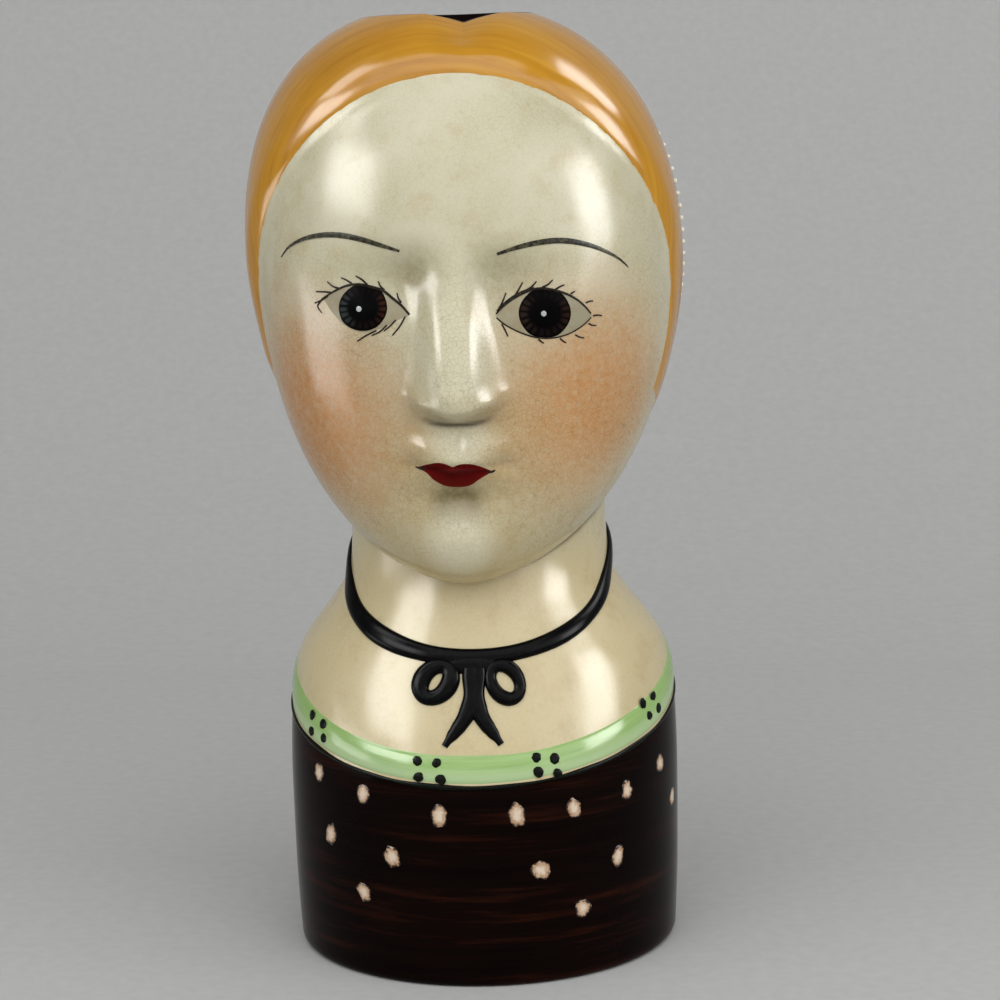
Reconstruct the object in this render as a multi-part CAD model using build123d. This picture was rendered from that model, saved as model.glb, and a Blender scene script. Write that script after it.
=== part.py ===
from build123d import *
from math import copysign, cos, exp, log, pi, sin, sqrt
import os

# Glazed earthenware flower vase in the form of a woman's head and bust.
# Millimetres. +Z is up, the face looks along -Y, +X is the viewer's right.
# The origin is the centre of the flat foot.

# Clay
WALL = 4.5
FLOOR = 6.0
FOOT_ROUND = 2.0

# Bust: height, half width, front reach and back reach of each level, foot first
BUST_LEVELS = [
    (0.0, 49.3, 49.3, 49.3),
    (16.0, 50.1, 50.1, 50.1),
    (32.0, 50.4, 50.4, 50.4),
    (46.0, 50.5, 50.5, 50.5),
    (54.0, 50.4, 49.6, 50.5),
    (62.0, 50.1, 47.2, 50.3),
    (69.0, 49.4, 44.4, 49.6),
    (75.0, 48.2, 41.8, 48.5),
    (80.0, 46.0, 39.7, 46.8),
    (85.0, 42.4, 37.6, 44.4),
    (90.5, 38.2, 35.4, 41.2),
    (97.0, 34.3, 33.0, 38.0),
    (105.0, 33.1, 31.0, 35.8),
    (116.0, 32.9, 30.0, 34.8),
    (130.0, 32.7, 29.6, 34.4),
]
BUST_POINTS = 24
BUST_STEP = 5.0
NECK_TOP = 124.0

# Neckline: the band's lower edge is a plane that drops towards the chest, and its
# upper edge is an arc in side view, given by its heights at chest, axis and back
NECKLINE_Z = 64.5
NECKLINE_SLOPE = 0.25
BAND_CHEST_Z = 60.2
BAND_AXIS_Z = 75.2
BAND_BACK_Z = 94.0
BAND_CHEST_Y = 47.0
BAND_PROUD = 0.5
BAND_SEAT = 1.5

# Choker ribbon: a half-round strip in a plane that drops towards the chest
CHOKER_Z = 100.2
CHOKER_SLOPE = 0.465
CHOKER_WIDTH = 3.8
CHOKER_THICK = 1.2
CHOKER_STATIONS = 48
CHOKER_END_GAP = 0.3
SLIP_FILM = 0.03

# Bow, laid on the chest: places are (x, z) as seen from the front
KNOT_PLACE = (0.5, 80.3)
KNOT_HALF = (4.6, 2.9, 1.8)
LOOP_LEFT_PLACE = (-8.6, 76.6)
LOOP_LEFT_LEAN = -48.0
LOOP_RIGHT_PLACE = (8.4, 76.2)
LOOP_RIGHT_LEAN = 38.0
LOOP_HALF_LONG = 4.4
LOOP_HALF_SHORT = 2.7
LOOP_ROLL = 1.6
TAIL_LEFT_ROUTE = [(-0.4, 77.5), (-0.5, 70.5), (-5.9, 62.3)]
TAIL_RIGHT_ROUTE = [(1.9, 77.5), (1.8, 70.5), (6.7, 62.3)]
TAIL_ROLL = 1.6

# Head casting, without the hair
HEAD_HALF_WIDTH = 53.0
HEAD_WIDE_Z = 178.0
CHIN_Z = 100.8
CROWN_Z = 239.4
HEAD_SHIFT = -1.0
CROWN_LEAN = 3.6
CROWN_LEAN_Z = 150.0
FACE_REACH = 50.0
FACE_REACH_Z = 165.0
SKULL_REACH = 50.0
SKULL_REACH_Z = 180.0
CHIN_FORWARD = 36.0
WIDEST_SHARE = 0.52
CROWN_POWER = 2.35
CROWN_DEPTH_POWER = 2.6
JAW_POWER = 2.12
CHIN_POWER = 3.0
NAPE_POWER = 2.5
PLAN_POWER = 2.2
FACE_POINTS = 80
FACE_LEVELS = 64
FORM_POINTS = 32
FORM_LEVELS = 32

# Face: relief of each feature in front of the plain egg
NOSE_HEIGHT = 10.0
NOSE_ROOT_Z = 190.0
NOSE_TIP_Z = 150.0
NOSE_BASE_Z = 142.3
NOSE_BASE_RUN = 5.5
NOSE_WING_LIFT = 3.0
NOSE_HALF_ROOT = 8.8
NOSE_HALF_BASE = 11.6
NOSE_RIDGE_ROOT = 3.4
NOSE_RIDGE_TIP = 4.4
NOSE_RISE_POWER = 1.4
NOSE_CREASE_BEND = 6.0
NOSE_RIDGE_BEND = 5.0
WING_BULGE = 1.7
WING_PLACE = (9.0, 147.2)
WING_SPREAD = (3.2, 3.4)
SOCKET_DEPTH = 2.4
SOCKET_PLACE = (13.0, 177.0)
SOCKET_SPREAD = (7.5, 7.0)
EYE_BULGE = 1.0
EYE_PLACE = (22.0, 169.5)
EYE_SPREAD = (10.0, 7.5)
LIP_BULGE = 2.0
LIP_PLACE_Z = 132.5
LIP_SPREAD = (10.0, 6.5)
LIP_GROOVE = 1.4
LIP_GROOVE_Z = 124.0
LIP_GROOVE_SPREAD = (10.0, 3.2)
CHIN_BULGE = 2.4
CHIN_BULGE_Z = 113.0
CHIN_SPREAD = (13.0, 7.5)

# Mouth of the vase, in the crown
MOUTH_RADIUS = 20.0
MOUTH_Y = 2.0

# Hair, laid over the head casting, thinner towards its hem
HAIR_THICK = 2.6
HAIR_HEM_THICK = 0.7
HAIR_FULL_Z = 182.0
PARTING_X = 1.0
PARTING_Z = 238.0
PARTING_HALF = 9.0
PARTING_RISE = 2.2
PARTING_FALL = 22.0
HAIRLINE_X = -0.8
HAIRLINE_HALF_WIDTH = 51.2
HAIRLINE_Z = 172.0
HAIRLINE_RISE = 53.2
HAIRLINE_FALL = 64.0
HAIR_HEM_Z = 141.0
HAIR_HEM_SLOPE = -0.5
HAIR_HEM_TILT = -0.08

# Snood, the netted bag that holds the back hair
SNOOD_THICK = 3.0
SNOOD_SAG = 6.0
SNOOD_SAG_Z = 160.0
SNOOD_SAG_SPREAD = 26.0
SNOOD_EDGE_RADIUS = 42.0
SNOOD_EDGE_Y = 9.5
SNOOD_EDGE_Z = 189.0

# Beads of trailed slip on the snood
BEAD_RADIUS = 0.9
EDGE_BEAD_PITCH = 3.3
EDGE_BEAD_INSET = 1.8
NET_PITCH_Z = 9.0
NET_PITCH_ACROSS = 12.0
NET_MARGIN = 6.0

# Larger than the whole vase, for cutting tools
REACH = 320.0


def share_round(share, power):
    """Height of a superellipse quadrant at a share of its width."""
    return max(0.0, 1.0 - min(1.0, abs(share)) ** power) ** (1.0 / power)


def ease(start, end, value):
    """Smooth step from 0 at start to 1 at end."""
    t = min(1.0, max(0.0, (value - start) / (end - start)))
    return t * t * (3.0 - 2.0 * t)


def ramp(value, bend):
    """Nothing below zero and a straight rise above it, joined by a bend of a given sharpness."""
    return log(1.0 + exp(bend * value)) / bend


def mound(x, z, place, spread):
    """Bell-shaped swelling about a place on the face."""
    return exp(-(((x - place[0]) / spread[0]) ** 2) - ((z - place[1]) / spread[1]) ** 2)


def closed_wire(points):
    """Smooth closed wire. Equal parameters let every level share one set of knots."""
    count = len(points)
    steps = [i / count for i in range(count + 1)]
    edge = Edge.make_spline([Vector(*p) for p in points], periodic=True, parameters=steps)
    return Wire([edge])


def egg_level(z, half_width, front, back, count, widest=0.5, power=2.0, crowd=0.0, relief=None):
    """Points round one level of an egg form. front and back are its two Y limits."""
    middle = front + (back - front) * widest
    points = []
    for i in range(count):
        turn = 2.0 * pi * i / count
        turn -= crowd * cos(turn)
        across, along = cos(turn), sin(turn)
        x = half_width * copysign(abs(across) ** (2.0 / power), across)
        run = back - middle if along > 0 else middle - front
        y = middle + run * copysign(abs(along) ** (2.0 / power), along)
        if relief and along < 0:
            y -= relief(x, z)
        points.append((x, y, z))
    return points


def face_relief(x, z):
    """How far the face stands in front of the plain egg at one place."""
    side = abs(x)
    down = (NOSE_ROOT_Z - z) / (NOSE_ROOT_Z - NOSE_TIP_Z)
    rise = min(1.0, max(0.0, down)) ** NOSE_RISE_POWER
    base = NOSE_BASE_Z + NOSE_WING_LIFT * min(1.0, side / NOSE_HALF_BASE) ** 3
    height = NOSE_HEIGHT * rise * ease(base, base + NOSE_BASE_RUN, z)
    ridge = NOSE_RIDGE_ROOT + (NOSE_RIDGE_TIP - NOSE_RIDGE_ROOT) * rise
    half = NOSE_HALF_ROOT + (NOSE_HALF_BASE - NOSE_HALF_ROOT) * rise
    flank = (half - side) / (half - ridge)
    nose = height * (ramp(flank, NOSE_CREASE_BEND) - ramp(flank - 1.0, NOSE_RIDGE_BEND))
    under = ease(NOSE_BASE_Z - 1.0, NOSE_BASE_Z + 2.0, z)
    wing = WING_BULGE * under * mound(side, z, WING_PLACE, WING_SPREAD)
    socket = SOCKET_DEPTH * mound(side, z, SOCKET_PLACE, SOCKET_SPREAD)
    eye = EYE_BULGE * mound(side, z, EYE_PLACE, EYE_SPREAD)
    lips = LIP_BULGE * mound(x, z, (0.0, LIP_PLACE_Z), LIP_SPREAD)
    groove = LIP_GROOVE * mound(x, z, (0.0, LIP_GROOVE_Z), LIP_GROOVE_SPREAD)
    chin = CHIN_BULGE * mound(x, z, (0.0, CHIN_BULGE_Z), CHIN_SPREAD)
    return nose + wing - socket + eye + lips - groove + chin


def head_lean(z):
    """How far the hand-set head stands off the axis at one height, with its lean to the viewer's left."""
    share = max(0.0, (z - CROWN_LEAN_Z) / (CROWN_Z - CROWN_LEAN_Z))
    return HEAD_SHIFT - CROWN_LEAN * share**1.5


def head_level(z, grow, sag):
    """Half width, front Y and back Y of the head at one height, grown on all sides."""
    chin, crown = CHIN_Z - grow, CROWN_Z + grow
    if z > HEAD_WIDE_Z:
        width = share_round((z - HEAD_WIDE_Z) / (crown - HEAD_WIDE_Z), CROWN_POWER)
    else:
        width = share_round((HEAD_WIDE_Z - z) / (HEAD_WIDE_Z - chin), JAW_POWER)
    face, skull = FACE_REACH + grow, SKULL_REACH + grow
    if z > FACE_REACH_Z:
        front = -face * share_round((z - FACE_REACH_Z) / (crown - FACE_REACH_Z), CROWN_DEPTH_POWER)
    else:
        run = share_round((FACE_REACH_Z - z) / (FACE_REACH_Z - chin), CHIN_POWER)
        front = -CHIN_FORWARD - (face - CHIN_FORWARD) * run
    if z > SKULL_REACH_Z:
        back = skull * share_round((z - SKULL_REACH_Z) / (crown - SKULL_REACH_Z), CROWN_DEPTH_POWER)
    else:
        run = share_round((SKULL_REACH_Z - z) / (SKULL_REACH_Z - chin), NAPE_POWER)
        back = -CHIN_FORWARD + (skull + CHIN_FORWARD) * run
    back += sag * exp(-(((z - SNOOD_SAG_Z) / SNOOD_SAG_SPREAD) ** 2))
    return (HEAD_HALF_WIDTH + grow) * width, front, back


def head_form(grow, relief=None, sag=0.0, points=FORM_POINTS, levels=FORM_LEVELS, hem_grow=None):
    """Closed egg of the head, grown by a thickness, which may be another one below the hair's hem."""
    low_grow = grow if hem_grow is None else hem_grow
    chin, crown = CHIN_Z - low_grow, CROWN_Z + grow
    wires = []
    for i in range(1, levels):
        z = chin + (crown - chin) * (1.0 - cos(pi * i / levels)) / 2.0
        grow_here = low_grow + (grow - low_grow) * ease(HAIR_HEM_Z, HAIR_FULL_Z, z)
        half_width, front, back = head_level(z, grow_here, sag)
        crowd = 0.45 if relief else 0.0
        sizes = (z, half_width, front, back, points)
        level = egg_level(*sizes, WIDEST_SHARE, PLAN_POWER, crowd, relief)
        lean = head_lean(z)
        wires.append(closed_wire([(x + lean, y, z) for x, y, z in level]))
    return Solid.make_loft([Vertex(head_lean(chin), -CHIN_FORWARD, chin), *wires])


def bust_slope(index, column):
    """Slope of the bust's outline at one listed level."""
    low = BUST_LEVELS[max(0, index - 1)]
    high = BUST_LEVELS[min(len(BUST_LEVELS) - 1, index + 1)]
    return (high[column] - low[column]) / (high[0] - low[0])


def bust_reach(z, column):
    """One reach of the bust at a height, on a smooth curve through the listed levels."""
    index = sum(level[0] <= z for level in BUST_LEVELS[1:-1])
    low, high = BUST_LEVELS[index], BUST_LEVELS[index + 1]
    run = high[0] - low[0]
    t = (z - low[0]) / run
    ends = low[column] + (high[column] - low[column]) * t * t * (3.0 - 2.0 * t)
    leave = bust_slope(index, column) * t * (1.0 - t) ** 2
    arrive = bust_slope(index + 1, column) * t * t * (1.0 - t)
    return ends + run * (leave - arrive)


def bust_form(grow, foot=0.0):
    """Closed form of the bust and neck, grown by a thickness, standing on a given height."""
    top = BUST_LEVELS[-1][0]
    count = round((top - foot) / BUST_STEP)
    wires = []
    for i in range(count + 1):
        z = foot + (top - foot) * i / count
        half_width, front, back = (bust_reach(z, column) + grow for column in (1, 2, 3))
        wires.append(closed_wire(egg_level(z, half_width, -front, back, BUST_POINTS)))
    return Solid.make_loft(wires)


def bust_point(turn, drop, slope, low):
    """Point of the bust at a turn round the axis, on a plane lowered by a given drop."""
    z = low
    for _ in range(12):
        half_width, front, back = (bust_reach(z, column) for column in (1, 2, 3))
        middle = (back - front) / 2.0
        y = middle + (back + front) / 2.0 * sin(turn)
        z = low + slope * y - drop
    return Vector(half_width * cos(turn), y, z)


def choker_wire(turn):
    """Cross-section of the choker at a turn round the neck: flat inside, round outside."""
    steps = [0.0, 0.25, 0.5, 0.75, 1.0]
    drops = [CHOKER_WIDTH * (0.5 - step) for step in steps]
    seat = [bust_point(turn, drop, CHOKER_SLOPE, CHOKER_Z) for drop in drops]
    ahead = bust_point(turn + 0.01, 0.0, CHOKER_SLOPE, CHOKER_Z)
    normal = (ahead - seat[2]).cross(seat[4] - seat[0]).normalized()
    along = normal.cross(seat[4] - seat[0]).normalized()
    middle = seat[2]
    seat = [point - along * (point - middle).dot(along) + normal * SLIP_FILM for point in seat]
    crest = [point + normal * CHOKER_THICK * sin(pi * step) for point, step in zip(seat, steps)]
    inside = Edge.make_spline(seat, parameters=steps)
    outside = Edge.make_spline(crest[::-1], parameters=steps)
    return Wire([inside, outside])


def choker_strip():
    """Strip laid round the neck, its two ends meeting at the front of the throat."""
    end = CHOKER_END_GAP / bust_reach(CHOKER_Z, 2)
    wires = []
    for i in range(CHOKER_STATIONS + 1):
        turn = -pi / 2 + end + (2 * pi - 2 * end) * i / CHOKER_STATIONS
        wires.append(choker_wire(turn))
    return Solid.make_loft(wires)


def sloped_plane(z, slope, tilt=0.0):
    """Plane that passes the axis at a height, with its rise per mm to the back and the right."""
    return Plane(origin=(0, 0, z), z_dir=(-tilt, -slope, 1))


def space_above(plane):
    """Large block that fills one side of a plane."""
    return plane * Pos(0, 0, REACH / 2) * Box(REACH, REACH, REACH)


def surface_hit(solid, start, direction):
    """First point and outward normal where a ray from outside meets a solid."""
    hits = solid.find_intersection_points(Axis(start, direction))
    point, normal = min(hits, key=lambda hit: (hit[0] - Vector(*start)).length)
    return point, normal if normal.dot(Vector(*direction)) < 0 else -normal


def chest_seat(bust, place):
    """Plane that touches the chest at an (x, z) place, its X axis level."""
    point, normal = surface_hit(bust, (place[0], -REACH, place[1]), (0, 1, 0))
    level = Vector(0, 0, 1).cross(normal)
    return Plane(origin=point, x_dir=level, z_dir=normal)


def bow_loop(bust, place, lean):
    """One loop of the bow: a rolled strip bent into an oval that stands on the chest."""
    seat = chest_seat(bust, place)
    oval = seat * Rot(0, 0, lean) * Ellipse(LOOP_HALF_SHORT, LOOP_HALF_LONG).edge()
    section = Plane(origin=oval @ 0, z_dir=oval % 0) * Circle(LOOP_ROLL)
    return sweep(section, path=oval) - bust


def bow_tail(bust, route):
    """One tail of the bow: a rolled strip laid down the chest."""
    seats = [chest_seat(bust, place).origin for place in route]
    line = Spline(*seats)
    section = Plane(origin=line @ 0, z_dir=line % 0) * Circle(TAIL_ROLL)
    return sweep(section, path=line) - bust


def snood_edge_y(z):
    """Y of the snood's front edge at one height."""
    rise = z - SNOOD_EDGE_Z
    return SNOOD_EDGE_Y + SNOOD_EDGE_RADIUS - sqrt(SNOOD_EDGE_RADIUS**2 - rise**2)


def bead_at(point, normal):
    """Half-round bead of slip that stands on a surface."""
    dome = Sphere(BEAD_RADIUS, arc_size1=0, align=(Align.CENTER, Align.CENTER, Align.MIN))
    return Plane(origin=point, z_dir=normal) * dome


def edge_beads(bag):
    """Row of beads just behind the snood's front edge, on both sides."""
    beads = []
    step = EDGE_BEAD_PITCH / SNOOD_EDGE_RADIUS
    radius = SNOOD_EDGE_RADIUS - EDGE_BEAD_INSET
    half_count = int(pi / 2 / step)
    for i in range(-half_count, half_count + 1):
        y = SNOOD_EDGE_Y + SNOOD_EDGE_RADIUS - radius * cos(i * step)
        z = SNOOD_EDGE_Z + radius * sin(i * step)
        if y > head_level(z, SNOOD_THICK, SNOOD_SAG)[2] - NET_MARGIN:
            continue
        for side in (-1, 1):
            point, normal = surface_hit(bag, (side * REACH, y, z), (-side, 0, 0))
            beads.append(bead_at(point, normal))
    return beads


def net_beads(bag):
    """Beads at the crossings of the net, staggered row by row over the back."""
    beads = []
    z = SNOOD_EDGE_Z - SNOOD_EDGE_RADIUS + 2 * NET_MARGIN
    row = 0
    while z < SNOOD_EDGE_Z + SNOOD_EDGE_RADIUS - 2 * NET_MARGIN:
        half_width = head_level(z, SNOOD_THICK, SNOOD_SAG)[0]
        lean = head_lean(z)
        x = NET_PITCH_ACROSS / 2 if row % 2 else 0.0
        while x < half_width - NET_MARGIN:
            for side in (-1, 1) if x else (1,):
                point, normal = surface_hit(bag, (lean + side * x, REACH, z), (0, -1, 0))
                if point.Y > snood_edge_y(z) + NET_MARGIN:
                    beads.append(bead_at(point, normal))
            x += NET_PITCH_ACROSS
        z += NET_PITCH_Z
        row += 1
    return beads


def hairline_prism():
    """Block behind the face's outline, out to the front: what the hair leaves bare."""
    middle = (HAIRLINE_X, HAIRLINE_Z)
    rise = EllipticalCenterArc(middle, HAIRLINE_HALF_WIDTH, HAIRLINE_RISE, 0, arc_size=180)
    fall = EllipticalCenterArc(middle, HAIRLINE_HALF_WIDTH, HAIRLINE_FALL, 180, arc_size=180)
    outline = Plane.XZ * make_face([rise, fall])
    return extrude(outline, REACH / 2)


def parting_wedge():
    """V-shaped cutter that notches the crest of the hair and runs down the parting."""
    profile = Polyline(
        (PARTING_X - 3 * PARTING_HALF, PARTING_Z + 3 * PARTING_RISE),
        (PARTING_X, PARTING_Z),
        (PARTING_X + 3 * PARTING_HALF, PARTING_Z + 3 * PARTING_RISE),
        close=True,
    )
    wedge = extrude(Plane.XZ * make_face(profile), REACH / 2)
    hinge = Axis((0, MOUTH_Y - MOUTH_RADIUS, PARTING_Z), (1, 0, 0))
    return wedge + wedge.rotate(hinge, PARTING_FALL)


def band_top_cutter():
    """Block above the band's curved upper edge."""
    chest, back = (-BAND_CHEST_Y, BAND_CHEST_Z), (BAND_CHEST_Y, BAND_BACK_Z)
    bend = ThreePointArc(chest, (0, BAND_AXIS_Z), back)
    front_run = Line((-BAND_CHEST_Y - REACH / 4, BAND_CHEST_Z), chest)
    back_run = Line(back, (BAND_CHEST_Y + REACH / 4, BAND_BACK_Z))
    lid = Polyline(back_run @ 1, (back_run @ 1) + Vector(0, REACH), (front_run @ 0) + Vector(0, REACH),
                   front_run @ 0)
    return extrude(Plane.YZ * make_face([front_run, bend, back_run, lid]), REACH / 2, both=True)


def build_bust():
    """Drum, band and shoulders, all cut from one bust form."""
    outer = bust_form(0.0)
    inner = bust_form(-WALL, FLOOR)
    foot_edge = outer.faces().sort_by(Axis.Z)[0].edges()
    shell = fillet(foot_edge, FOOT_ROUND) - inner
    shell -= space_above(Plane.XY.offset(NECK_TOP))
    neckline = sloped_plane(NECKLINE_Z, NECKLINE_SLOPE)
    drum = shell - space_above(neckline)
    strip = bust_form(BAND_PROUD) - bust_form(-BAND_SEAT)
    band = (strip & space_above(neckline)) - band_top_cutter()
    shoulders = (shell & space_above(neckline)) - band
    return outer, drum, band, shoulders


def build_bow(bust):
    """Choker, knot, loops and tails. The knot hides the ends of all the others."""
    choker = choker_strip()
    seat = chest_seat(bust, KNOT_PLACE)
    knot = seat * scale(Sphere(1.0), by=KNOT_HALF) - bust - choker
    loop_left = bow_loop(bust, LOOP_LEFT_PLACE, LOOP_LEFT_LEAN) - knot - choker
    loop_right = bow_loop(bust, LOOP_RIGHT_PLACE, LOOP_RIGHT_LEAN) - knot - choker
    laid = [knot, choker, loop_left, loop_right]
    tail_left = bow_tail(bust, TAIL_LEFT_ROUTE) - laid
    tail_right = bow_tail(bust, TAIL_RIGHT_ROUTE) - [*laid, tail_left]
    return choker, knot, loop_left, loop_right, tail_left, tail_right


def build_head(bust):
    """Head casting, the two sides of the hair, the snood and its beads."""
    skin = head_form(0.0, face_relief, points=FACE_POINTS, levels=FACE_LEVELS)
    mouth = Pos(head_lean(CROWN_Z), MOUTH_Y, CROWN_Z) * Cylinder(MOUTH_RADIUS, REACH / 4)
    head = skin - head_form(-WALL) - mouth - bust
    edge_centre = (0, SNOOD_EDGE_Y + SNOOD_EDGE_RADIUS, SNOOD_EDGE_Z)
    back = Pos(*edge_centre) * Rot(0, 90, 0) * Cylinder(SNOOD_EDGE_RADIUS, REACH)
    hair = head_form(HAIR_THICK, hem_grow=HAIR_HEM_THICK)
    hair = hair - skin - mouth - back - hairline_prism() - parting_wedge()
    hem = sloped_plane(HAIR_HEM_Z, HAIR_HEM_SLOPE, HAIR_HEM_TILT)
    hair = (hair & space_above(hem)) - bust
    right_side = Pos(PARTING_X + REACH / 2, 0, 0) * Box(REACH, REACH, 2 * REACH)
    bag = head_form(SNOOD_THICK, sag=SNOOD_SAG)
    snood = ((bag - skin) & back) - bust
    beads = Compound(edge_beads(bag) + net_beads(bag))
    return head, hair - right_side, hair & right_side, snood, beads


def main():
    """Builds every piece and writes it under its node's name."""
    bust, drum, band, shoulders = build_bust()
    choker, knot, loop_left, loop_right, tail_left, tail_right = build_bow(bust)
    head, hair_left, hair_right, snood, beads = build_head(bust)
    pieces = {
        "bodice_drum": drum,
        "neckline_band": band,
        "shoulders_and_neck": shoulders,
        "choker_ribbon": choker,
        "bow_knot": knot,
        "bow_loop_left": loop_left,
        "bow_loop_right": loop_right,
        "bow_tail_left": tail_left,
        "bow_tail_right": tail_right,
        "head_shell": head,
        "hair_left": hair_left,
        "hair_right": hair_right,
        "snood": snood,
        "snood_beads": beads,
    }
    os.makedirs("parts", exist_ok=True)
    for name, piece in pieces.items():
        export_step(piece, f"parts/{name}.step")


if __name__ == "__main__":
    main()
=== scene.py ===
"""A painted and glazed face vase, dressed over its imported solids: sizes are in millimetres, the scene is in metres."""
import logging
import math
from collections.abc import Callable, Sequence
from dataclasses import dataclass
from enum import Enum
from functools import partial

import bpy
import numpy as np
from mathutils import Matrix, Vector


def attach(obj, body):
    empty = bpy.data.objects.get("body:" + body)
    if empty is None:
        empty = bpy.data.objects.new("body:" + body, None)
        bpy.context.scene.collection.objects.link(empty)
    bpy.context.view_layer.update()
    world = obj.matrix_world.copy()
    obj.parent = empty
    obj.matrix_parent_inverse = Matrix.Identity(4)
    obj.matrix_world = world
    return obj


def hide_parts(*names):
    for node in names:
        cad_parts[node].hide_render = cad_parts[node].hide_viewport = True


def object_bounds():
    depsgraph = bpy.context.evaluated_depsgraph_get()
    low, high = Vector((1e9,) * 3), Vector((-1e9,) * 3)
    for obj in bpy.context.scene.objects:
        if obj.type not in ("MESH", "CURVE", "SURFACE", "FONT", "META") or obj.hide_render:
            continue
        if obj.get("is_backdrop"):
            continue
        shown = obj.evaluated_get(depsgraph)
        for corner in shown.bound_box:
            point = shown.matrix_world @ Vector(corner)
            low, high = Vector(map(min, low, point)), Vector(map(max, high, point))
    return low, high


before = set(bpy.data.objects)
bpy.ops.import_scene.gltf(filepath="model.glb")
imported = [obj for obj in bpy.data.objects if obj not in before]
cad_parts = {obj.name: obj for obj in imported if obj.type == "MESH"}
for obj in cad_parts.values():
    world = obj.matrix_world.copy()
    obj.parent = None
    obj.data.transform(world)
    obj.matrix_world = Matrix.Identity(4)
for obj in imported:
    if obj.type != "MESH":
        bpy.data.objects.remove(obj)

LOG = logging.getLogger("face_vase")
MM = 0.001
TINY = 1e-6
Pixels = Sequence[tuple[float, float]]
FrontY = Callable[[np.ndarray, np.ndarray], np.ndarray]
Marks = dict[str, np.ndarray]
Waves = tuple[tuple[float, float, float], ...]
Link = bpy.types.NodeSocket | bpy.types.Node | str
Sockets = Sequence[object] | dict[str | int, object]
Add = Callable[..., bpy.types.Node]


class Slot(Enum):
    """The record's material slots."""

    BROWN = "brown_glaze"
    GREEN = "green_glaze"
    CREAM = "cream_glaze"
    BLACK = "black_glaze"
    GOLD = "gold_glaze"
    SNOOD = "snood_glaze"
    SLIP = "white_slip"


class Side(Enum):
    """The two sides of the head, as the viewer sees them."""

    LEFT = -1
    RIGHT = 1


# Shapes shared by the pieces


def axes_of(points: np.ndarray) -> np.ndarray:
    """The x, y and z of points."""
    return np.moveaxis(points, -1, 0)


def round_share(share: np.ndarray, power: float) -> np.ndarray:
    """Width that is left at a share of a rounded form's height."""
    return np.maximum(0.0, 1.0 - np.minimum(1.0, np.abs(share)) ** power) ** (1.0 / power)


def ease(low: float, high: float, value: np.ndarray) -> np.ndarray:
    """Smooth step from 0 at low to 1 at high."""
    share = np.clip((value - low) / (high - low), 0.0, 1.0)
    return share * share * (3.0 - 2.0 * share)


def unit(vectors: np.ndarray, least: float = 1e-9) -> np.ndarray:
    """Vectors brought to length 1."""
    return vectors / np.maximum(np.linalg.norm(vectors, axis=-1, keepdims=True), least)


def waver(at: np.ndarray, waves: Waves) -> np.ndarray:
    """Unevenness of a hand-made line: a sum of waves, each given by its height, count and start."""
    return sum(high * np.sin(at * count + start) for high, count, start in waves)


def mark_of(values: np.ndarray) -> np.ndarray:
    """Vectors that carry one value each, for a material to read."""
    return np.stack([values, np.zeros_like(values), np.zeros_like(values)], axis=-1)


def curve(knots: np.ndarray, values: np.ndarray, slopes: np.ndarray, at: np.ndarray) -> np.ndarray:
    """Smooth curve through values at knots.

    Args:
        knots: where the values lie.
        values: the values, or rows of them.
        slopes: the curve's slope at each knot.
        at: where the curve is wanted.

    Returns:
        The curve's values.
    """
    i = np.clip(np.searchsorted(knots, at, side="right") - 1, 0, len(knots) - 2)
    run, t = knots[i + 1] - knots[i], (at - knots[i]) / (knots[i + 1] - knots[i])
    if values.ndim > 1:
        run, t = run[:, None], t[:, None]
    bend = run * (slopes[i] * t * (1.0 - t) ** 2 - slopes[i + 1] * t * t * (1.0 - t))
    return values[i] + (values[i + 1] - values[i]) * (t * t * (3.0 - 2.0 * t)) + bend


def smooth_line(points: Pixels, count: int) -> np.ndarray:
    """Smooth curve through a few points, evenly spaced along its chords."""
    points = np.array(points, float)
    knots = np.concatenate([[0.0], np.cumsum(np.linalg.norm(np.diff(points, axis=0), axis=1))])
    return curve(knots, points, np.gradient(points, knots, axis=0), np.linspace(0.0, knots[-1], count))


@dataclass(frozen=True)
class Bump:
    """A soft swelling of the face, or a hollow where its height is below 0; a paired one is on both sides."""

    height: float
    place: tuple[float, float]
    spread: tuple[float, float]
    paired: bool = False

    def at(self, x: np.ndarray, z: np.ndarray) -> np.ndarray:
        """How far it stands out at each place."""
        across = (np.abs(x) if self.paired else x) - self.place[0]
        return self.height * np.exp(-((across / self.spread[0]) ** 2) - ((z - self.place[1]) / self.spread[1]) ** 2)


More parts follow.
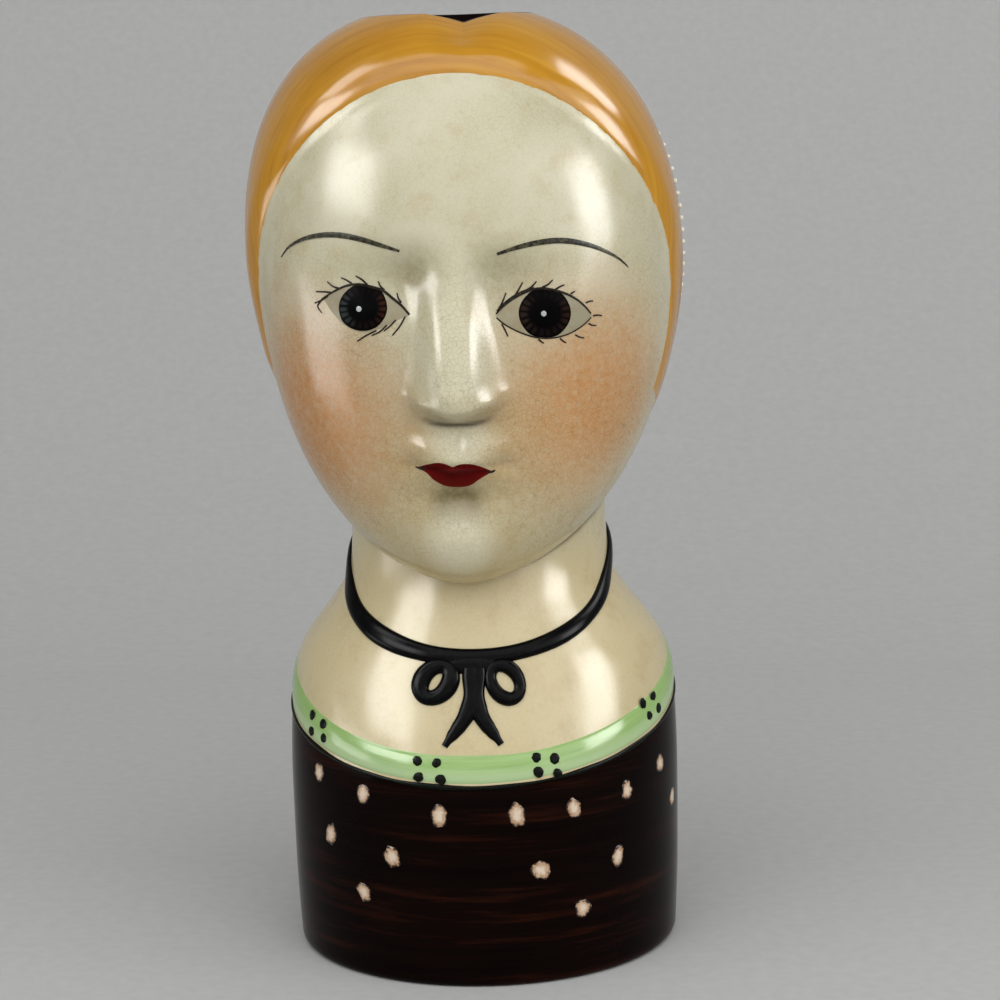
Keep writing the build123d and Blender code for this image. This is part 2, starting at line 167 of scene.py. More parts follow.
@dataclass(frozen=True)
class FaceRelief:
    """What stands out of the egg of the head: nose, eye sockets, eyes, lips and chin."""

    nose_height: float = 9.0
    nose_root_z: float = 186.0
    nose_tip_z: float = 150.0
    nose_base_z: float = 141.6
    base_run: float = 4.6
    wing_lift: float = 4.6
    wing_rise: float = 1.7
    half_root: float = 6.3
    half_base: float = 12.3
    ridge_root: float = 3.6
    ridge_tip: float = 4.0
    rise_power: float = 2.3
    root_sharpness: float = 2.0
    tip_sharpness: float = 6.5
    wings: Bump = Bump(1.7, (9.0, 147.2), (2.9, 3.1), True)
    tip: Bump = Bump(0.85, (0.0, 149.0), (4.2, 3.4))
    upper_lip: Bump = Bump(0.7, (0.0, 133.4), (8.0, 1.5))
    lower_lip: Bump = Bump(0.9, (0.4, 129.9), (6.5, 1.7))
    lip_seam: Bump = Bump(-0.35, (0.2, 131.9), (9.0, 0.6))
    lip_corners: Bump = Bump(-0.9, (11.4, 132.2), (2.4, 2.6), True)
    philtrum: Bump = Bump(-0.6, (0.0, 138.6), (2.0, 4.0))
    muzzle: Bump = Bump(1.5, (7.0, 136.0), (5.4, 3.7), True)
    sockets: Bump = Bump(-2.4, (13.0, 177.0), (7.5, 7.0), True)
    eyes: Bump = Bump(1.0, (22.0, 169.5), (10.0, 7.5), True)
    lips: Bump = Bump(2.0, (0.0, 132.5), (10.0, 6.5))
    under_lip: Bump = Bump(-1.4, (0.0, 124.0), (10.0, 3.2))
    chin: Bump = Bump(2.4, (0.0, 113.0), (13.0, 7.5))

    def height(self, x: np.ndarray, z: np.ndarray) -> np.ndarray:
        """How far the face stands forward of the egg at each place."""
        side = np.abs(x)
        down = np.clip((self.nose_root_z - z) / (self.nose_root_z - self.nose_tip_z), 0.0, 1.0)
        # Level at the root and again at the tip, and steepest between them
        rise = 1.0 - (1.0 - down) ** self.rise_power * (1.0 + self.rise_power * down)
        base = self.nose_base_z + self.wing_lift * np.minimum(1.0, side / self.half_base) ** self.wing_rise
        tall = self.nose_height * rise * ease(0.0, self.base_run, z - base)
        ridge = self.ridge_root + (self.ridge_tip - self.ridge_root) * down
        half = self.half_root + (self.half_base - self.half_root) * down
        slope = (half - side) / (half - ridge)
        sharp = self.root_sharpness + (self.tip_sharpness - self.root_sharpness) * ease(0.15, 0.6, down)
        flank = (np.logaddexp(0.0, sharp * slope) - np.logaddexp(0.0, sharp * (slope - 1.0))) / sharp
        wings = self.wings.at(x, z) * ease(self.nose_base_z - 1.0, self.nose_base_z + 2.0, z)
        mouth = (self.upper_lip, self.lower_lip, self.lip_seam, self.lip_corners, self.lips, self.under_lip)
        rest = (self.tip, self.philtrum, self.muzzle, self.sockets, self.eyes, self.chin)
        return tall * flank + wings + sum(bump.at(x, z) for bump in mouth + rest)


@dataclass(frozen=True)
class HeadForm:
    """The egg of the head, level by level, with the face on its front."""

    half_width: float = 53.0
    wide_z: float = 178.0
    chin_z: float = 100.8
    crown_z: float = 239.4
    shift: float = -1.0
    crown_lean: float = 3.6
    lean_from_z: float = 150.0
    lean_power: float = 1.5
    face_reach: float = 50.0
    face_reach_z: float = 165.0
    skull_reach: float = 50.0
    skull_reach_z: float = 180.0
    chin_forward: float = 36.0
    widest_share: float = 0.52
    crown_power: float = 2.35
    crown_depth_power: float = 2.6
    jaw_power: float = 2.12
    chin_power: float = 3.0
    nape_power: float = 2.5
    plan_power: float = 2.2
    sag_z: float = 160.0
    sag_spread: float = 26.0
    far_share: float = 9.0
    far_reach: float = 150.0
    relief: FaceRelief = FaceRelief()

    def lean(self, z: np.ndarray) -> np.ndarray:
        """How far the head stands off the axis, with the lean of its crown."""
        share = np.maximum(0.0, (z - self.lean_from_z) / (self.crown_z - self.lean_from_z))
        return self.shift - self.crown_lean * share**self.lean_power

    def level(self, z: np.ndarray, grow: float = 0.0, sag: float = 0.0) -> tuple[np.ndarray, ...]:
        """Plan of the head at a height.

        Args:
            z: the heights.
            grow: how far the form stands outside the skin.
            sag: how much further the back hangs out.

        Returns:
            Half width, front y, the y where it is widest, and back y at each height.
        """
        chin, crown = self.chin_z - grow, self.crown_z + grow
        width = np.where(
            z > self.wide_z,
            round_share((z - self.wide_z) / (crown - self.wide_z), self.crown_power),
            round_share((self.wide_z - z) / (self.wide_z - chin), self.jaw_power),
        )
        ends = []
        for way, reach, from_z, low_power in (
            (-1.0, self.face_reach + grow, self.face_reach_z, self.chin_power),
            (1.0, self.skull_reach + grow, self.skull_reach_z, self.nape_power),
        ):
            above = way * reach * round_share((z - from_z) / (crown - from_z), self.crown_depth_power)
            below = way * reach + self.chin_forward
            below = below * round_share((from_z - z) / (from_z - chin), low_power) - self.chin_forward
            ends.append(np.where(z > from_z, above, below))
        front, back = ends
        back = back + sag * np.exp(-(((z - self.sag_z) / self.sag_spread) ** 2))
        return (self.half_width + grow) * width, front, front + (back - front) * self.widest_share, back

    def measure(self, points: np.ndarray, grow: float = 0.0, sag: float = 0.0) -> np.ndarray:
        """A number that is 1 on the form and grows from its inside to its outside."""
        x, y, z = axes_of(points)
        width, front, middle, back = self.level(z, grow, sag)
        run = np.maximum(np.where(y < middle, middle - front, back - middle), TINY)
        across = np.minimum(np.abs(x - self.lean(z)) / np.maximum(width, TINY), self.far_share)
        return across**self.plan_power + np.minimum(np.abs(y - middle) / run, self.far_share) ** self.plan_power

    def outside(self, points: np.ndarray, grow: float = 0.0, sag: float = 0.0) -> np.ndarray:
        """Which points lie outside the form."""
        z = points[..., 2]
        beyond = (z <= self.chin_z - grow) | (z >= self.crown_z + grow)
        return beyond | (self.measure(points, grow, sag) > 1.0)

    def cast(self, origin: np.ndarray, directions: np.ndarray, grow: float = 0.0, sag: float = 0.0) -> np.ndarray:
        """Points where rays from inside the head leave the form.

        Args:
            origin: where the rays start.
            directions: their directions, of length 1.
            grow: how far the form stands outside the skin.
            sag: how much further the back hangs out.

        Returns:
            One point for each ray.
        """
        near = np.zeros(directions.shape[:-1])
        far = np.full(directions.shape[:-1], self.far_reach)
        for _ in range(34):
            middle = (near + far) / 2.0
            out = self.outside(origin + directions * middle[..., None], grow, sag)
            far, near = np.where(out, middle, far), np.where(out, near, middle)
        return origin + directions * near[..., None]

    def with_face(self, points: np.ndarray) -> np.ndarray:
        """Skin points with the relief of the face on the front half."""
        x, y, z = axes_of(points)
        _, front, middle, _ = self.level(z)
        share = ease(0.0, 0.25, (middle - y) / np.maximum(middle - front, TINY))
        raised = points.copy()
        raised[..., 1] -= share * self.relief.height(x - self.lean(z), z)
        return raised

    def face_y(self, x: np.ndarray, z: np.ndarray) -> np.ndarray:
        """How far forward the face is at each place seen from the front."""
        width, front, middle, _ = self.level(z)
        across = x - self.lean(z)
        skin = middle - (middle - front) * round_share(across / np.maximum(width, TINY), self.plan_power)
        return skin - self.relief.height(across, z)

    def side_x(self, y: np.ndarray, z: np.ndarray, side: int, grow: float, sag: float) -> np.ndarray:
        """How far out the form is on one side at each place seen from there."""
        width, front, middle, back = self.level(z, grow, sag)
        run = np.where(y < middle, middle - front, back - middle)
        return self.lean(z) + side * width * round_share((y - middle) / np.maximum(run, TINY), self.plan_power)

    def back_y(self, x: np.ndarray, z: np.ndarray, grow: float, sag: float) -> np.ndarray:
        """How far back the form is at each place seen from behind."""
        width, _, middle, back = self.level(z, grow, sag)
        share = (x - self.lean(z)) / np.maximum(width, TINY)
        return middle + (back - middle) * round_share(share, self.plan_power)


@dataclass(frozen=True)
class BustForm:
    """The bodice, chest and neck: ovals given by height, half width, front and back."""

    levels: tuple[tuple[float, float, float, float], ...] = (
        (0.0, 49.3, 49.3, 49.3), (16.0, 50.1, 50.1, 50.1), (32.0, 50.4, 50.4, 50.4), (46.0, 50.5, 50.5, 50.5),
        (54.0, 50.4, 49.6, 50.5), (62.0, 50.1, 47.2, 50.3), (69.0, 49.4, 44.4, 49.6), (75.0, 48.2, 41.8, 48.5),
        (80.0, 46.0, 39.7, 46.8), (85.0, 42.4, 37.6, 44.4), (90.5, 38.2, 35.4, 41.2), (97.0, 34.3, 33.0, 38.0),
        (105.0, 33.1, 31.0, 35.8), (116.0, 32.9, 30.0, 34.8), (130.0, 32.7, 29.6, 34.4),
    )
    slope_step: float = 0.3
    first_z: float = 80.0

    def reach(self, z: np.ndarray, column: int) -> np.ndarray:
        """Smooth curve through one column of the levels."""
        table = np.array(self.levels)
        heights, values = table[:, 0], table[:, column]
        last = len(table) - 1
        ahead, behind = np.append(np.arange(1, last + 1), last), np.append(0, np.arange(last))
        slopes = (values[ahead] - values[behind]) / (heights[ahead] - heights[behind])
        return curve(heights, values, slopes, np.clip(np.asarray(z, float), heights[0], heights[-1]))

    def section(self, z: np.ndarray, grow: float = 0.0) -> tuple[np.ndarray, np.ndarray, np.ndarray]:
        """Half width, centre y and half depth of the oval at a height."""
        front, back = self.reach(z, 2) + grow, self.reach(z, 3) + grow
        return self.reach(z, 1) + grow, (back - front) / 2.0, (back + front) / 2.0

    def point(self, turn: np.ndarray, z: np.ndarray, grow: float = 0.0) -> np.ndarray:
        """Points on the bust at a turn round it and a height."""
        width, middle, run = self.section(z, grow)
        return np.stack(np.broadcast_arrays(width * np.cos(turn), middle + run * np.sin(turn), z), axis=-1)

    def seat(self, points: np.ndarray, lift: np.ndarray | float = 0.0) -> np.ndarray:
        """Points drawn level onto the bust, then lifted off it."""
        x, y, z = axes_of(points)
        width, middle, run = self.section(z)
        scale = 1.0 / np.sqrt((x / width) ** 2 + ((y - middle) / run) ** 2)
        seated = np.stack([x * scale, middle + (y - middle) * scale, z], axis=-1)
        return seated + self.normal(seated) * np.asarray(lift)[..., None]

    def normal(self, points: np.ndarray) -> np.ndarray:
        """Outward directions at points on the bust."""
        x, y, z = axes_of(points)
        width, middle, run = self.section(z)
        flat = np.stack([x / width**2, (y - middle) / run**2], axis=-1)
        sections = self.section(z + self.slope_step), self.section(z - self.slope_step)
        above, below = ((x / s[0]) ** 2 + ((y - s[1]) / s[2]) ** 2 for s in sections)
        slope = (above - below) / (4.0 * self.slope_step)
        return unit(np.concatenate([flat, slope[..., None]], axis=-1))

    def front_y(self, x: np.ndarray, z: np.ndarray) -> np.ndarray:
        """How far forward the bust is at each place seen from the front."""
        width, middle, run = self.section(z)
        return middle - run * np.sqrt(np.maximum(0.0, 1.0 - (x / width) ** 2))

    def on_slope(self, turn: np.ndarray, height_at: Callable[[np.ndarray], np.ndarray]) -> np.ndarray:
        """Points round the bust where its height follows a rule of y."""
        z = np.full(np.shape(turn), self.first_z)
        for _ in range(60):
            z = 0.5 * z + 0.5 * height_at(self.point(turn, z)[..., 1])
        return self.point(turn, z)


@dataclass(frozen=True)
class PhotoView:
    """The photograph's camera, in the part's frame, and what its pixels see."""

    place: tuple[float, float, float] = (52.32, -748.17, 247.0)
    target: tuple[float, float, float] = (5.743, 0.402, 114.726)
    roll_degrees: float = -1.5
    focal_pixels: float = 2940.4
    image_pixels: int = 1000
    sensor: float = 36.0
    clip_start: float = 0.01
    near_y: float = -95.0
    far_y: float = 10.0

    def axes(self) -> tuple[np.ndarray, np.ndarray, np.ndarray]:
        """Right, up and forward directions of the camera."""
        forward = unit(np.array(self.target) - np.array(self.place))
        level = unit(np.cross(forward, [0.0, 0.0, 1.0]))
        upright = np.cross(level, forward)
        roll = math.radians(self.roll_degrees)
        right = math.cos(roll) * level + math.sin(roll) * upright
        return right, math.cos(roll) * upright - math.sin(roll) * level, forward

    def land(self, pixels: Pixels | np.ndarray, front_y: FrontY) -> np.ndarray:
        """Points of a surface that pixels of the photograph show.

        Args:
            pixels: pixel places, x to the right and y down.
            front_y: gives the surface's y at each x and z.

        Returns:
            One point on the surface for each pixel.
        """
        right, up, forward = self.axes()
        shift = (np.asarray(pixels, float) - self.image_pixels / 2.0) / self.focal_pixels
        rays = forward + shift[..., :1] * right - shift[..., 1:] * up
        start = np.array(self.place)
        near, far = (self.near_y - start[1]) / rays[..., 1], (self.far_y - start[1]) / rays[..., 1]
        along = near + np.linspace(0.0, 1.0, 161)[:, None] * (far - near)
        probes = start + along[..., None] * rays
        behind = probes[..., 1] > front_y(probes[..., 0], probes[..., 2])
        first = np.clip(np.argmax(behind, axis=0), 1, None)[None]
        low, high = (np.take_along_axis(along, first - back, axis=0)[0] for back in (1, 0))
        for _ in range(30):
            middle = (low + high) / 2.0
            probe = start + middle[:, None] * rays
            inside = probe[:, 1] > front_y(probe[:, 0], probe[:, 2])
            high, low = np.where(inside, middle, high), np.where(inside, low, middle)
        return start + low[:, None] * rays

    def add_camera(self) -> None:
        """Sets up the scene's camera."""
        bpy.ops.object.camera_add()
        camera = bpy.context.object
        camera.name = "photo_camera"
        right, up, forward = self.axes()
        turn = Matrix((right, up, -forward)).transposed().to_4x4()
        camera.matrix_world = Matrix.Translation(Vector(self.place) * MM) @ turn
        camera.data.sensor_width = self.sensor
        camera.data.lens = self.focal_pixels / self.image_pixels * self.sensor
        camera.data.clip_start = self.clip_start
        bpy.context.scene.camera = camera


def normals_on(front_y: FrontY, points: np.ndarray, step: float = 0.25) -> np.ndarray:
    """Outward directions of a surface that is given by its y at each x and z."""
    x, _, z = axes_of(points)
    across = (front_y(x + step, z) - front_y(x - step, z)) / (2.0 * step)
    upward = (front_y(x, z + step) - front_y(x, z - step)) / (2.0 * step)
    return unit(np.stack([across, -np.ones_like(x), upward], axis=-1))


def lay_on(front_y: FrontY, points: np.ndarray, lift: np.ndarray | float) -> np.ndarray:
    """Points moved onto a surface along y, then lifted off it."""
    seated = points.copy()
    seated[..., 1] = front_y(points[..., 0], points[..., 2])
    return seated + normals_on(front_y, seated) * np.asarray(lift)[..., None]


# Making meshes


def mark(piece: bpy.types.Object, name: str, values: np.ndarray) -> None:
    """Keeps a vector for each vertex, which a material can read by name."""
    layer = piece.data.attributes.new(name=name, type="FLOAT_VECTOR", domain="POINT")
    layer.data.foreach_set("vector", values.astype(np.float32).ravel())


def read_points(piece: bpy.types.Object) -> np.ndarray:
    """A mesh's vertices, in its own units."""
    points = np.empty(len(piece.data.vertices) * 3, np.float32)
    piece.data.vertices.foreach_get("co", points)
    return points.reshape(-1, 3).astype(float)


class Sheet(Enum):
    """How a grid of points closes, and the primitive that is shaped into it."""

    RING = "torus, closed both ways"
    PATCH = "grid, open all round"
    CAPPED = "uv sphere, closed round, with the first and last rows as poles"


def shape_sheet(way: Sheet, name: str, grid: np.ndarray, marks: Marks | None = None) -> bpy.types.Object:
    """Shapes a primitive into a sheet.

    Args:
        way: how the sheet closes.
        name: the piece's name.
        grid: points in millimetres by column, then row; the sheet faces the side where columns cross rows, so the
            rows of a ring run up its outside and down its inside.
        marks: vectors in the same grid, kept under their names for the material to read.

    Returns:
        The new mesh object.
    """
    columns, rows = grid.shape[:2]
    bpy.ops.object.select_all(action="DESELECT")
    if way is Sheet.RING:
        bpy.ops.mesh.primitive_torus_add(
            major_segments=columns, minor_segments=rows, major_radius=1.0, minor_radius=0.25
        )
    elif way is Sheet.CAPPED:
        bpy.ops.mesh.primitive_uv_sphere_add(segments=columns, ring_count=rows - 1, radius=1.0)
    else:
        bpy.ops.mesh.primitive_grid_add(x_subdivisions=columns - 1, y_subdivisions=rows - 1, size=2.0)
    piece = bpy.context.object
    x, y, z = axes_of(read_points(piece))
    column, row = np.arctan2(y, x) / math.tau * columns, (y + 1.0) / 2.0 * (rows - 1)
    if way is Sheet.RING:
        row = np.arctan2(z, np.hypot(x, y) - 1.0) / math.tau * rows
    elif way is Sheet.CAPPED:
        row = np.arccos(np.clip(z, -1.0, 1.0)) / math.pi * (rows - 1)
    else:
        column = (x + 1.0) / 2.0 * (columns - 1)
    at = np.rint(column).astype(int) % columns, np.rint(row).astype(int) % rows
    piece.data.vertices.foreach_set("co", (grid[at] * MM).astype(np.float32).ravel())
    piece.data.update()
    piece.name = name
    piece.data.name = name
    for key, values in (marks or {}).items():
        mark(piece, key, values[at])
    return piece


def make_active(piece: bpy.types.Object) -> None:
    """Selects one piece alone."""
    bpy.ops.object.select_all(action="DESELECT")
    piece.select_set(True)
    bpy.context.view_layer.objects.active = piece


def solidify(piece: bpy.types.Object, thickness: float) -> None:
    """Gives an open sheet a wall behind it and applies the modifier."""
    make_active(piece)
    wall = piece.modifiers.new("wall", "SOLIDIFY")
    wall.thickness = thickness * MM
    wall.offset = -1.0
    bpy.ops.object.modifier_apply(modifier=wall.name)


def delete_faces(piece: bpy.types.Object, hidden: np.ndarray) -> None:
    """Deletes the faces marked as hidden, and loose points with them."""
    make_active(piece)
    bpy.ops.object.mode_set(mode="EDIT")
    bpy.ops.mesh.select_mode(type="FACE")
    bpy.ops.mesh.select_all(action="DESELECT")
    bpy.ops.object.mode_set(mode="OBJECT")
    piece.data.polygons.foreach_set("select", hidden)
    bpy.ops.object.mode_set(mode="EDIT")
    bpy.ops.mesh.delete(type="FACE")
    bpy.ops.object.mode_set(mode="OBJECT")


def merge_seam(piece: bpy.types.Object, gap: float = 1e-4) -> None:
    """Merges points that lie on each other, such as a sheet's closing seam."""
    make_active(piece)
    bpy.ops.object.mode_set(mode="EDIT")
    bpy.ops.mesh.select_all(action="SELECT")
    bpy.ops.mesh.remove_doubles(threshold=gap * MM)
    bpy.ops.object.mode_set(mode="OBJECT")


def face_centres(piece: bpy.types.Object) -> np.ndarray:
    """Centres of a mesh's faces, in millimetres."""
    centres = np.empty(len(piece.data.polygons) * 3, np.float32)
    piece.data.polygons.foreach_get("center", centres)
    return centres.reshape(-1, 3).astype(float) / MM


def join(name: str, pieces: list[bpy.types.Object]) -> bpy.types.Object:
    """Joins pieces into one."""
    bpy.ops.object.select_all(action="DESELECT")
    for piece in pieces:
        piece.select_set(True)
    bpy.context.view_layer.objects.active = pieces[0]
    bpy.ops.object.join()
    joined = bpy.context.object
    joined.name = name
    joined.data.name = name
    return joined


def dress(
    piece: bpy.types.Object,
    glazes: list["Glaze"],
    slot: Slot,
    stands_for: tuple[str, ...] = (),
    sharp_degrees: float = 50.0,
) -> bpy.types.Object:
    """Finishes a piece: shading, material, body and the nodes it stands for.

    Args:
        piece: the mesh object.
        glazes: its finishes, in the order of its faces' indices.
        slot: the record's slot it would take its finish from; not used.
        stands_for: the solids it is shown instead of.
        sharp_degrees: edges that turn more than this stay sharp.

    Returns:
        The piece.
    """
    make_active(piece)
    bpy.ops.object.shade_smooth_by_angle(angle=math.radians(sharp_degrees))
    indices = np.zeros(len(piece.data.polygons), np.int32)
    piece.data.polygons.foreach_get("material_index", indices)
    piece.data.materials.clear()
    for glaze in glazes:
        piece.data.materials.append(bpy.data.materials.get(glaze.name) or glaze.make())
    piece.data.polygons.foreach_set("material_index", indices)
    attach(piece, "root")
    if stands_for:
        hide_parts(*stands_for)
    LOG.info("%s: %d faces", piece.name, len(piece.data.polygons))
    return piece


# Finishes


def linear(hex_colour: str) -> tuple[float, float, float, float]:
    """Turns an sRGB hex colour to linear."""
    parts = [int(hex_colour[i : i + 2], 16) / 255.0 for i in (1, 3, 5)]
    red, green, blue = [c / 12.92 if c <= 0.04045 else ((c + 0.055) / 1.055) ** 2.4 for c in parts]
    return red, green, blue, 1.0


def per_mm(size: float) -> float:
    """Scale of a pattern whose features are a size in millimetres."""
    return 1.0 / (size * MM)


def node(tree: bpy.types.NodeTree, kind: str, sockets: Sockets = (), **settings: object) -> bpy.types.Node:
    """Adds a node.

    Args:
        tree: the material's node tree.
        kind: the node's type, without its ShaderNode prefix.
        sockets: values for its inputs, in order or by name: numbers, hex colours, outputs to link, or nodes, which
            are linked by the first output they have in use.
        settings: the node's own properties.

    Returns:
        The new node.
    """
    made = tree.nodes.new("ShaderNode" + kind)
    for key, value in settings.items():
        setattr(made, key, value)
    for key, value in sockets.items() if isinstance(sockets, dict) else enumerate(sockets):
        if isinstance(value, bpy.types.Node):
            value = next(output for output in value.outputs if output.enabled)
        if isinstance(value, bpy.types.NodeSocket):
            tree.links.new(value, made.inputs[key])
        else:
            made.inputs[key].default_value = linear(value) if isinstance(value, str) else value
    return made


MIX_A, MIX_B = 6, 7
COLOUR = {"data_type": "RGBA"}


@dataclass(frozen=True)
class Coat:
    """What a finish puts under its glassy coat: a colour, a grain that shows in its ripples and an uneven gleam."""

    colour: Link
    grain: Link | None = None
    gleam: Link | None = None


@dataclass(frozen=True)
class Glaze:
    """A fired glaze over painted clay: a smooth glassy coat with faint ripples from the brush and the kiln."""

    name: str
    roughness: float = 0.16
    ior: float = 1.5
    ripple_size: float = 9.0
    ripple_depth: float = 0.05
    grain_depth: float = 0.02
    smear_size: float = 14.0

    def paint(self, add: Add, place: Link) -> Coat:
        """Adds the finish's own nodes.

        Args:
            add: adds a node to the material.
            place: its Object coordinates.

        Returns:
            What lies under the glassy coat.
        """
        raise NotImplementedError

    def make(self) -> bpy.types.Material:
        """Builds the material: the finish's own paint under the glassy coat."""
        material = bpy.data.materials.new(self.name)
        material.use_nodes = True
        material.node_tree.nodes.clear()
        add = partial(node, material.node_tree)
        place = add("TexCoord").outputs["Object"]
        coat = self.paint(add, place)
        ripple = add("TexNoise", {"Vector": place, "Scale": per_mm(self.ripple_size), "Detail": 2.0})
        normal = add("Bump", {"Strength": 1.0, "Distance": self.ripple_depth * MM, "Height": ripple})
        if coat.grain:
            grain = {"Strength": 1.0, "Distance": self.grain_depth * MM, "Height": coat.grain, "Normal": normal}
            normal = add("Bump", grain)
        smear = add("TexNoise", {"Vector": place, "Scale": per_mm(self.smear_size), "Detail": 3.0})
        gloss = add("MapRange", (smear, 0.3, 0.7, self.roughness * 0.8, self.roughness * 1.3))
        coated = {"Base Color": coat.colour, "Roughness": gloss, "IOR": coat.gleam or self.ior, "Normal": normal}
        add("OutputMaterial", {"Surface": add("BsdfPrincipled", coated)})
        return material


@dataclass(frozen=True)
class SkinPatch:
    """A soft patch of colour round one place on the skin; some are brushed washes of tone and blush, others painted
    shade and painted highlights.
    """

    place: tuple[float, float, float]
    inner: float
    outer: float
    colour: str
    strength: float


@dataclass(frozen=True)
class SkinGlaze(Glaze):
    """Crackled cream glaze over painted skin: greenish cream, rosy cheeks, tea-coloured stains and fine cracks, with
    painted shade and highlights on the face.
    """

    cream: str = "#C6C0A0"
    pale: str = "#D0CBAF"
    stain: str = "#BBA578"
    tan: str = "#CFC096"
    crack: str = "#7A6740"
    # Colour of the painted shade under the nose and at the joints with the next piece, with grime at the joints
    shade_and_grime_colour: str = "#3A2C18"
    patches: tuple[SkinPatch, ...] = (
        SkinPatch((0.0, -50.0, 127.0), 8.0, 46.0, "#A48C54", 0.62),
        SkinPatch((-39.0, -35.0, 143.0), 6.0, 42.0, "#BE8042", 0.90),
        SkinPatch((33.0, -39.0, 147.0), 4.0, 41.0, "#C28647", 0.88),
        # Painted shade in the eye sockets beside the nose, and above the lids
        SkinPatch((-10.5, -49.0, 178.0), 1.0, 13.0, "#857A54", 0.66),
        SkinPatch((9.5, -49.0, 177.0), 1.0, 13.0, "#8B805B", 0.62),
        SkinPatch((-22.0, -46.0, 178.5), 1.0, 12.0, "#9A8F6B", 0.40),
        SkinPatch((21.0, -46.0, 177.5), 1.0, 12.0, "#9A8F6B", 0.40),
        # Painted highlights on the nose and on the upper lip
        SkinPatch((0.0, -58.0, 155.0), 2.0, 16.0, "#D3CDB0", 0.85),
        SkinPatch((0.0, -53.0, 138.5), 2.0, 11.0, "#D6D0B4", 0.85),
        # Painted shade under the lower lip
        SkinPatch((-1.5, -48.0, 122.2), 3.0, 9.0, "#6E6039", 0.86),
        # Painted highlight on the chin
        SkinPatch((-1.5, -48.0, 112.5), 3.0, 13.0, "#DED8BC", 0.85),
    )
    # The real cracks are finer; these are as fine as the render can show
    crack_cell: float = 1.25
    crack_bend: float = 2.4
    crack_bend_size: float = 4.0
    speck_size: float = 1.8
    stain_size: float = 22.0
    blot_size: float = 9.0
    forehead: tuple[float, float] = (190.0, 160.0)
    chest: tuple[float, float] = (118.0, 102.0)

    def paint(self, add: Add, place: Link) -> Coat:
        """Stained, washed, crackled skin with painted highlights, and painted shade under the nose and (with grime) at
        joints.
        """
        cloud = add("TexNoise", {"Vector": place, "Scale": per_mm(self.stain_size), "Detail": 5.0, "Roughness": 0.6})
        blot = add("TexNoise", {"Vector": place, "Scale": per_mm(self.blot_size), "Detail": 5.0, "Roughness": 0.68})
        height = add("SeparateXYZ", (place,)).outputs["Z"]
        brow_top, brow_end = (z * MM for z in self.forehead)
        chest_top, chest_end = (z * MM for z in self.chest)
        # The neck and chest are warmer and more stained than the face
        layers = [
            (add("MapRange", (cloud, 0.38, 0.66)), self.cream),
            (add("MapRange", (height, chest_top, chest_end)), self.tan),
            (add("MapRange", (blot, 0.50, 0.72, 0.0, 0.5)), self.stain),
        ]
        # Each patch is speckled as if dabbed on with a sponge: the washes, the painted shade and the painted
        # highlights
        grain = add("TexNoise", {"Vector": place, "Scale": per_mm(self.speck_size), "Detail": 4.0, "Roughness": 0.7})
        speck = add("MapRange", (grain, 0.32, 0.68, 0.72, 1.12))
        for patch in self.patches:
            away = add("VectorMath", (place, [c * MM for c in patch.place]), operation="DISTANCE")
            reach = (away, patch.outer * MM, patch.inner * MM, 0.0, patch.strength)
            soft = add("MapRange", reach, interpolation_type="SMOOTHSTEP")
            layers.append((add("Math", (soft, speck), operation="MULTIPLY"), patch.colour))
        bent = add("TexNoise", {"Vector": place, "Scale": per_mm(self.crack_bend_size), "Detail": 3.0})
        pushed = add(
            "VectorMath", (bent.outputs["Color"], (self.crack_bend * MM,) * 3, place), operation="MULTIPLY_ADD"
        )
        cell = {"Vector": pushed, "Scale": per_mm(self.crack_cell)}
        drawn = add("MapRange", (add("TexVoronoi", cell, feature="DISTANCE_TO_EDGE"), 0.0, 0.06, 1.0, 0.0))
        # The crackle is uneven, and it shows less on the forehead and less again on the neck and chest
        for shown in (
            (cloud, 0.35, 0.7, 0.2, 0.62),
            (height, brow_top, brow_end, 0.4, 1.0),
            (height, chest_end, chest_top, 0.3, 1.0),
        ):
            drawn = add("Math", (drawn, add("MapRange", shown)), operation="MULTIPLY")
        # Painted shade under the nose and at the joint with the next piece, with grime at the joint, read from an
        # attribute
        dirt = add("Attribute", attribute_name="dirt").outputs["Vector"]
        layers += [(drawn, self.crack), (add("SeparateXYZ", (dirt,)).outputs["X"], self.shade_and_grime_colour)]
        colour = self.pale
        for share, over in layers:
            colour = add("Mix", {0: share, MIX_A: colour, MIX_B: over}, **COLOUR)
        return Coat(colour)


